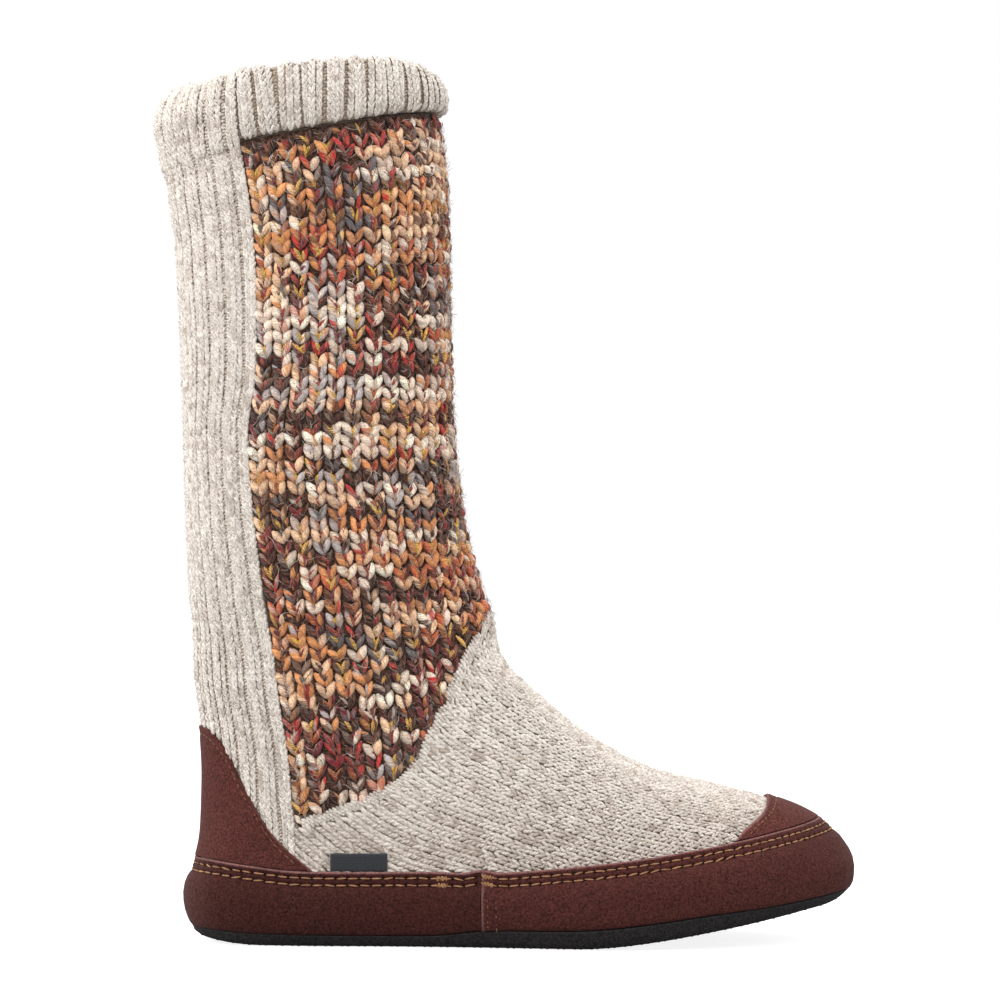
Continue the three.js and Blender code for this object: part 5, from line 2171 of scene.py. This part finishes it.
def slab(name, bottom, top, material, bottom_round):
    """A closed slab that fills the foot's outline. Its bottom and its top are each a height line, how far
    it stands out from the knit and how far it is lifted there."""
    layout = plan()
    count = int(layout.length / STATION)
    run = np.arange(count) / count * layout.length
    edge, out = sole_edge(run)
    middle = np.column_stack((at_run(run, layout.run, layout.starts), np.zeros(count)))
    (low, low_offset, low_lift), (high, high_offset, high_lift) = bottom, top
    rings = []

    def flat_ring(offset, line, lift, fill):
        flat = lerp(middle, edge + out * offset, fill)
        flat[:, 2] = height_at(line, flat[:, 0]) + lift
        rings.append(flat)

    for fill in SLAB_FILLS:
        flat_ring(low_offset - bottom_round, low, low_lift, fill)
    for level in SLAB_LEVELS:
        wall = edge + out * lerp(low_offset, high_offset, level)
        wall = wall - out * bottom_round * (1 - round_edge(level, 0.3))
        floor, ceiling = height_at(low, wall[:, 0]) + low_lift, height_at(high, wall[:, 0]) + high_lift
        wall[:, 2] = lerp(floor, ceiling, level)
        rings.append(wall)
    for fill in reversed(SLAB_FILLS):
        flat_ring(high_offset, high, high_lift, fill)
    grid = np.stack(rings, axis=1)
    index = np.arange(grid[..., 0].size).reshape(grid.shape[:2])
    after = np.roll(index, -1, axis=0)
    faces = np.stack((index[:, :-1], index[:, 1:], after[:, 1:], after[:, :-1]), -1).reshape(-1, 4).tolist()
    mesh = solid_mesh(name, grid.reshape(-1, 3), faces, material)
    bm = bmesh.new()
    bm.from_mesh(mesh)
    bmesh.ops.remove_doubles(bm, verts=bm.verts, dist=0.02 * MM)
    bmesh.ops.dissolve_degenerate(bm, edges=bm.edges, dist=0.01 * MM)
    bmesh.ops.recalc_face_normals(bm, faces=bm.faces)
    bm.to_mesh(mesh)
    bm.free()
    add_piece(name, mesh, (name.split("_")[0],))


TREAD_DEEP = 0.45  # how far the tread stands below the rubber's underside
BAR_LENGTH, BAR_THICK = 5.0, 1.15  # one bar of the tread
TREAD_TURN = 0.28  # angle of a bar across the sole, in radians
TREAD_PITCH = (6.2, 3.1)  # from one bar to the next across and along the sole
RIM_PITCH = 2.1  # from one upright rib to the next round the rubber's edge


def make_outsole():
    """The thin rubber outsole."""
    material = shared_material("worn_rubber", rubber)
    slab("outsole_rubber", ("floor", 0.7, TREAD_DEEP), ("sole", 1.7, 0.0), material, 0.9)


def tread_bars(chart, layout):
    """Rows of short bars under the outsole, turned one way and the other."""
    rng = np.random.default_rng(71)
    edge, out = sole_edge(np.linspace(0, layout.length, 700))
    rim = edge[:, :2] + out[:, :2] * -0.4
    front = np.argmax(rim[:, 0])
    sides = (rim[: front + 1], rim[front:][::-1])
    for number, x in enumerate(np.arange(rim[:, 0].min() + 3, rim[:, 0].max() - 2, TREAD_PITCH[1])):
        low, high = sorted(np.interp(x, half[:, 0], half[:, 1]) for half in sides)
        count = int((high - low - 0.6) / TREAD_PITCH[0])
        at_y = low + (np.arange(count) + 0.5) * (high - low) / count
        slope = float(height_at("floor", x + 0.5) - height_at("floor", x - 0.5))
        turn = TREAD_TURN * (-1) ** number
        along = unit((math.sin(turn), math.cos(turn), slope * math.sin(turn)))
        at_z = height_at("floor", x) + BAR_THICK / 2 + 0.02
        at = np.column_stack((np.full(count, x), at_y, np.full(count, at_z)))
        chart.put(at, along, unit((slope, 0.0, -1.0)), stretched(rng.uniform(0.96, 1.04, count), 1.0, 1.0))


def rim_ribs(chart, layout):
    """Fine upright ribs round the foot of the rubber's edge."""
    edge, outward = sole_edge(np.arange(int(layout.length / RIM_PITCH)) * RIM_PITCH)
    at = edge + outward * 0.72
    tall = np.maximum(height_at("sole", at[:, 0]) - height_at("floor", at[:, 0]) - 1.6, 1.0) * 0.62
    at[:, 2] = height_at("floor", at[:, 0]) + tall / 2 + 0.75
    upright = unit((0.0, 0.0, 1.0) + outward * 0.18)
    chart.put(at, upright, outward, stretched(tall / BAR_LENGTH, 0.8, 0.62))


def make_tread():
    """Rows of short bars under the outsole, and fine upright ribs round the foot of its edge."""
    chart = Chart()
    tread_bars(chart, plan())
    rim_ribs(chart, plan())
    shape = {"Length": BAR_LENGTH * MM, "Thickness": BAR_THICK * MM, "Bow": 0.0, "Arch": 0.0, "Tip": 0.75}
    material = shared_material("worn_rubber", rubber)
    grow("outsole_tread", chart, material, "sole_rubber", Sides=4, Segments=2, **shape)


def make_insole():
    """The fleece footbed."""
    bottom, top = (("sole", -KNIT - 0.4, lift) for lift in (SEAM, SEAM + FOOTBED))
    slab("insole_fleece", bottom, top, shared_material("curled_fleece", fleece), 0.5)


def side_point(x, z, side):
    """Point and normal of the knit seen from one side."""
    return SKIN.hit((x, side * 200, z), (0, -side, 0))


def make_label():
    """The woven tab let into the foxing's top edge on the outer side, without lettering."""
    bottom = float(height_at("band", LABEL_X)) + SEAM
    columns = np.linspace(LABEL_X - LABEL_LENGTH / 2, LABEL_X + LABEL_LENGTH / 2, 33)
    rows = np.linspace(bottom, bottom + LABEL_HEIGHT, 15)
    grid = [[side_point(x, z, -1) for x in columns] for z in rows]
    points = np.array([[spot for spot, _ in row] for row in grid])
    normals = np.array([[normal for _, normal in row] for row in grid])
    bm = grid_bmesh(points, normals, closed=False)
    bmesh.ops.reverse_faces(bm, faces=bm.faces)
    middle = np.array((LABEL_X, bottom + LABEL_HEIGHT / 2))

    def inward(p):
        return ((LABEL_LENGTH / 2, LABEL_HEIGHT / 2) - np.abs(side_view(p) - middle)).min(-1)

    def face(p):
        lip = round_edge(inward(p) + 0.05, 0.7)
        return SEAM + LABEL_THICK * lerp(0.45, 1, lip) + uneven(p, 6.0, 0.15, 2.0)

    points, faces = shell_from(bm, face, SEAM)
    edge = np.clip(1 - inward(points) / 0.7, 0, 1)
    mesh = solid_mesh("label_tab", points, faces, shared_material("label_tape", label_tape), raw_edge=edge)
    add_piece("label_tab", mesh, ("label",))


# ---- stage --------------------------------------------------------------------------------------------

CAMERA_AT = (120.1, -1500.0, 150.0)  # in millimetres, as the boot is
CAMERA_LENS, CAMERA_SENSOR, CAMERA_SHIFT = 141.66, 36.0, 0.0456
CAMERA_CLIP = (0.05, 50)
FLOOR_CORNERS = ((-6.0, -3.0), (6.0, 6.0))  # in metres
FLOOR_DARK, FLOOR_LIGHT = (0.36,) * 3, (0.39,) * 3
FLOOR_GLOW, ROOM_LIGHT = 0.86, 0.84
LAMP_AIM = (110, 0, 150)
# Each lamp's place and size in metres, and its power in watts.
LAMPS = (
    ("key", (-0.5, -1.4, 1.3), 1.0, 15.5),
    ("side", (-1.6, -0.2, 0.7), 1.2, 17.5),
    ("fill", (1.5, -0.7, 0.7), 1.2, 9.0),
    ("top", (0.1, 0.1, 1.8), 1.3, 12.5),
    ("back", (0.2, 1.6, 1.0), 1.2, 7.0),
)


def make_camera():
    """The camera, level with the middle of the boot's outer side."""
    camera = bpy.data.cameras.new("camera")
    camera.lens, camera.sensor_width, camera.shift_y = CAMERA_LENS, CAMERA_SENSOR, CAMERA_SHIFT
    camera.clip_start, camera.clip_end = CAMERA_CLIP
    eye = new_object("camera", camera)
    eye.location = place(CAMERA_AT)
    eye.rotation_euler = (math.pi / 2, 0, 0)
    bpy.context.scene.camera = eye


def make_floor():
    """A pale floor that reads as white to the camera, and lights the boot as a grey one does."""
    mesh = bpy.data.meshes.new("floor")
    (left, near), (right, far) = FLOOR_CORNERS
    corners = ((left, near, 0), (right, near, 0), (right, far, 0), (left, far, 0))
    mesh.from_pydata(corners, [], [(0, 1, 2, 3)])
    material, tree, shader = new_material("pale_floor", 0.9, specular=0.1)
    surfaced(tree, shader, mixed(tree, grain(tree, 3, 2), FLOOR_DARK, FLOOR_LIGHT))
    shader.inputs["Emission Color"].default_value = (*WHITE, 1)
    seen = add(tree, "ShaderNodeLightPath").outputs["Is Camera Ray"]
    tree.links.new(times(tree, seen, FLOOR_GLOW), shader.inputs["Emission Strength"])
    mesh.materials.append(material)
    floor = new_object("floor", mesh)


def make_world():
    """A plain white room, full white to the camera and softer as a light."""
    world = bpy.data.worlds.new("studio")
    world.use_nodes = True
    bpy.context.scene.world = world
    tree = world.node_tree
    lit = tree.nodes["Background"]
    lit.inputs["Color"].default_value = (*WHITE, 1)
    lit.inputs["Strength"].default_value = ROOM_LIGHT
    seen = add(tree, "ShaderNodeBackground", {"Color": (*WHITE, 1), "Strength": 1.0}).outputs[0]
    ray = add(tree, "ShaderNodeLightPath").outputs["Is Camera Ray"]
    chosen = add(tree, "ShaderNodeMixShader", {0: ray, 1: lit.outputs[0], 2: seen}).outputs[0]
    tree.links.new(chosen, tree.nodes["World Output"].inputs["Surface"])


def make_lamps():
    """Large soft lamps round the boot, all turned to its middle."""
    aim = Vector(place(LAMP_AIM))
    for name, spot, size, power in LAMPS:
        lamp = bpy.data.lights.new(name, "AREA")
        lamp.shape, lamp.size, lamp.energy = "SQUARE", size, power
        holder = new_object(name, lamp)
        holder.location = spot
        holder.rotation_euler = (aim - Vector(spot)).to_track_quat("-Z", "Y").to_euler()


def make_stage():
    """The camera, the floor, the room and the lamps."""
    bpy.context.scene.view_settings.view_transform = "Standard"
    make_camera()
    make_floor()
    make_world()
    make_lamps()


# ---- operators ----------------------------------------------------------------------------------------


class SLOUCHBOOT_OT_outsole(bpy.types.Operator):
    """Make the thin rubber outsole"""

    bl_idname = "slouchboot.outsole"
    bl_label = "Outsole"

    def execute(self, context):
        make_outsole()
        return {"FINISHED"}


class SLOUCHBOOT_OT_tread(bpy.types.Operator):
    """Lay the fine tread of the outsole"""

    bl_idname = "slouchboot.tread"
    bl_label = "Tread"

    def execute(self, context):
        make_tread()
        return {"FINISHED"}


class SLOUCHBOOT_OT_insole(bpy.types.Operator):
    """Make the fleece footbed"""

    bl_idname = "slouchboot.insole"
    bl_label = "Footbed"

    def execute(self, context):
        make_insole()
        return {"FINISHED"}


class SLOUCHBOOT_OT_upper(bpy.types.Operator):
    """Make the hollow knit wall of the foot and back"""

    bl_idname = "slouchboot.upper"
    bl_label = "Upper backing"

    def execute(self, context):
        make_upper()
        return {"FINISHED"}


class SLOUCHBOOT_OT_back(bpy.types.Operator):
    """Knit the ribbed back of the leg"""

    bl_idname = "slouchboot.back"
    bl_label = "Ribbed back"

    def execute(self, context):
        make_back_stitches()
        return {"FINISHED"}


class SLOUCHBOOT_OT_foot(bpy.types.Operator):
    """Knit the foot"""

    bl_idname = "slouchboot.foot"
    bl_label = "Foot knit"

    def execute(self, context):
        make_foot_stitches()
        return {"FINISHED"}


class SLOUCHBOOT_OT_panel(bpy.types.Operator):
    """Make the wall behind the heavy panel"""

    bl_idname = "slouchboot.panel"
    bl_label = "Panel backing"

    def execute(self, context):
        make_panel()
        return {"FINISHED"}


class SLOUCHBOOT_OT_chunky(bpy.types.Operator):
    """Knit the heavy space-dyed panel"""

    bl_idname = "slouchboot.chunky"
    bl_label = "Chunky knit"

    def execute(self, context):
        make_chunky_stitches()
        return {"FINISHED"}


class SLOUCHBOOT_OT_fuzz(bpy.types.Operator):
    """Lay the loose hairs of both yarns"""

    bl_idname = "slouchboot.fuzz"
    bl_label = "Fuzz"

    def execute(self, context):
        make_fuzz()
        return {"FINISHED"}


class SLOUCHBOOT_OT_cuff(bpy.types.Operator):
    """Make and knit the doubled cuff"""

    bl_idname = "slouchboot.cuff"
    bl_label = "Cuff"

    def execute(self, context):
        make_cuff()
        return {"FINISHED"}


class SLOUCHBOOT_OT_foxing(bpy.types.Operator):
    """Make the two lengths of suede foxing"""

    bl_idname = "slouchboot.foxing"
    bl_label = "Foxing"

    def execute(self, context):
        make_foxing()
        return {"FINISHED"}


class SLOUCHBOOT_OT_overlays(bpy.types.Operator):
    """Make the suede heel counter and toe cap"""

    bl_idname = "slouchboot.overlays"
    bl_label = "Counter and toe cap"

    def execute(self, context):
        make_counter_and_toe_cap()
        return {"FINISHED"}


class SLOUCHBOOT_OT_label(bpy.types.Operator):
    """Make the plain woven label"""

    bl_idname = "slouchboot.label"
    bl_label = "Label"

    def execute(self, context):
        make_label()
        return {"FINISHED"}


class SLOUCHBOOT_OT_stage(bpy.types.Operator):
    """Set the floor, lights and camera"""

    bl_idname = "slouchboot.stage"
    bl_label = "Stage"

    def execute(self, context):
        make_stage()
        return {"FINISHED"}


OPERATORS = (
    SLOUCHBOOT_OT_outsole,
    SLOUCHBOOT_OT_tread,
    SLOUCHBOOT_OT_insole,
    SLOUCHBOOT_OT_upper,
    SLOUCHBOOT_OT_back,
    SLOUCHBOOT_OT_foot,
    SLOUCHBOOT_OT_panel,
    SLOUCHBOOT_OT_chunky,
    SLOUCHBOOT_OT_fuzz,
    SLOUCHBOOT_OT_cuff,
    SLOUCHBOOT_OT_foxing,
    SLOUCHBOOT_OT_overlays,
    SLOUCHBOOT_OT_label,
    SLOUCHBOOT_OT_stage,
)


class SLOUCHBOOT_PT_panel(bpy.types.Panel):
    """Lists every piece of the boot in the sidebar."""

    bl_idname = "SLOUCHBOOT_PT_panel"
    bl_label = "Slouch boot"
    bl_space_type = "VIEW_3D"
    bl_region_type = "UI"
    bl_category = "Slouch boot"

    def draw(self, context):
        for made in OPERATORS:
            self.layout.operator(made.bl_idname)


SETTINGS = {
    "slouch_boot_knit": SlouchBootKnit,
    "slouch_boot_trim": SlouchBootTrim,
    "slouch_boot_colours": SlouchBootColours,
}


def register():
    for group in SETTINGS.values():
        bpy.utils.register_class(group)
    for name, group in SETTINGS.items():
        setattr(bpy.types.Scene, name, PointerProperty(type=group))
    for made in (*OPERATORS, SLOUCHBOOT_PT_panel):
        bpy.utils.register_class(made)


def unregister():
    for made in reversed((*OPERATORS, SLOUCHBOOT_PT_panel)):
        bpy.utils.unregister_class(made)
    for name, group in reversed(SETTINGS.items()):
        delattr(bpy.types.Scene, name)
        bpy.utils.unregister_class(group)


def main():
    register()
    for made in OPERATORS:
        name = made.bl_idname.split(".")[1]
        getattr(bpy.ops.slouchboot, name)()


if __name__ == "__main__":
    main()
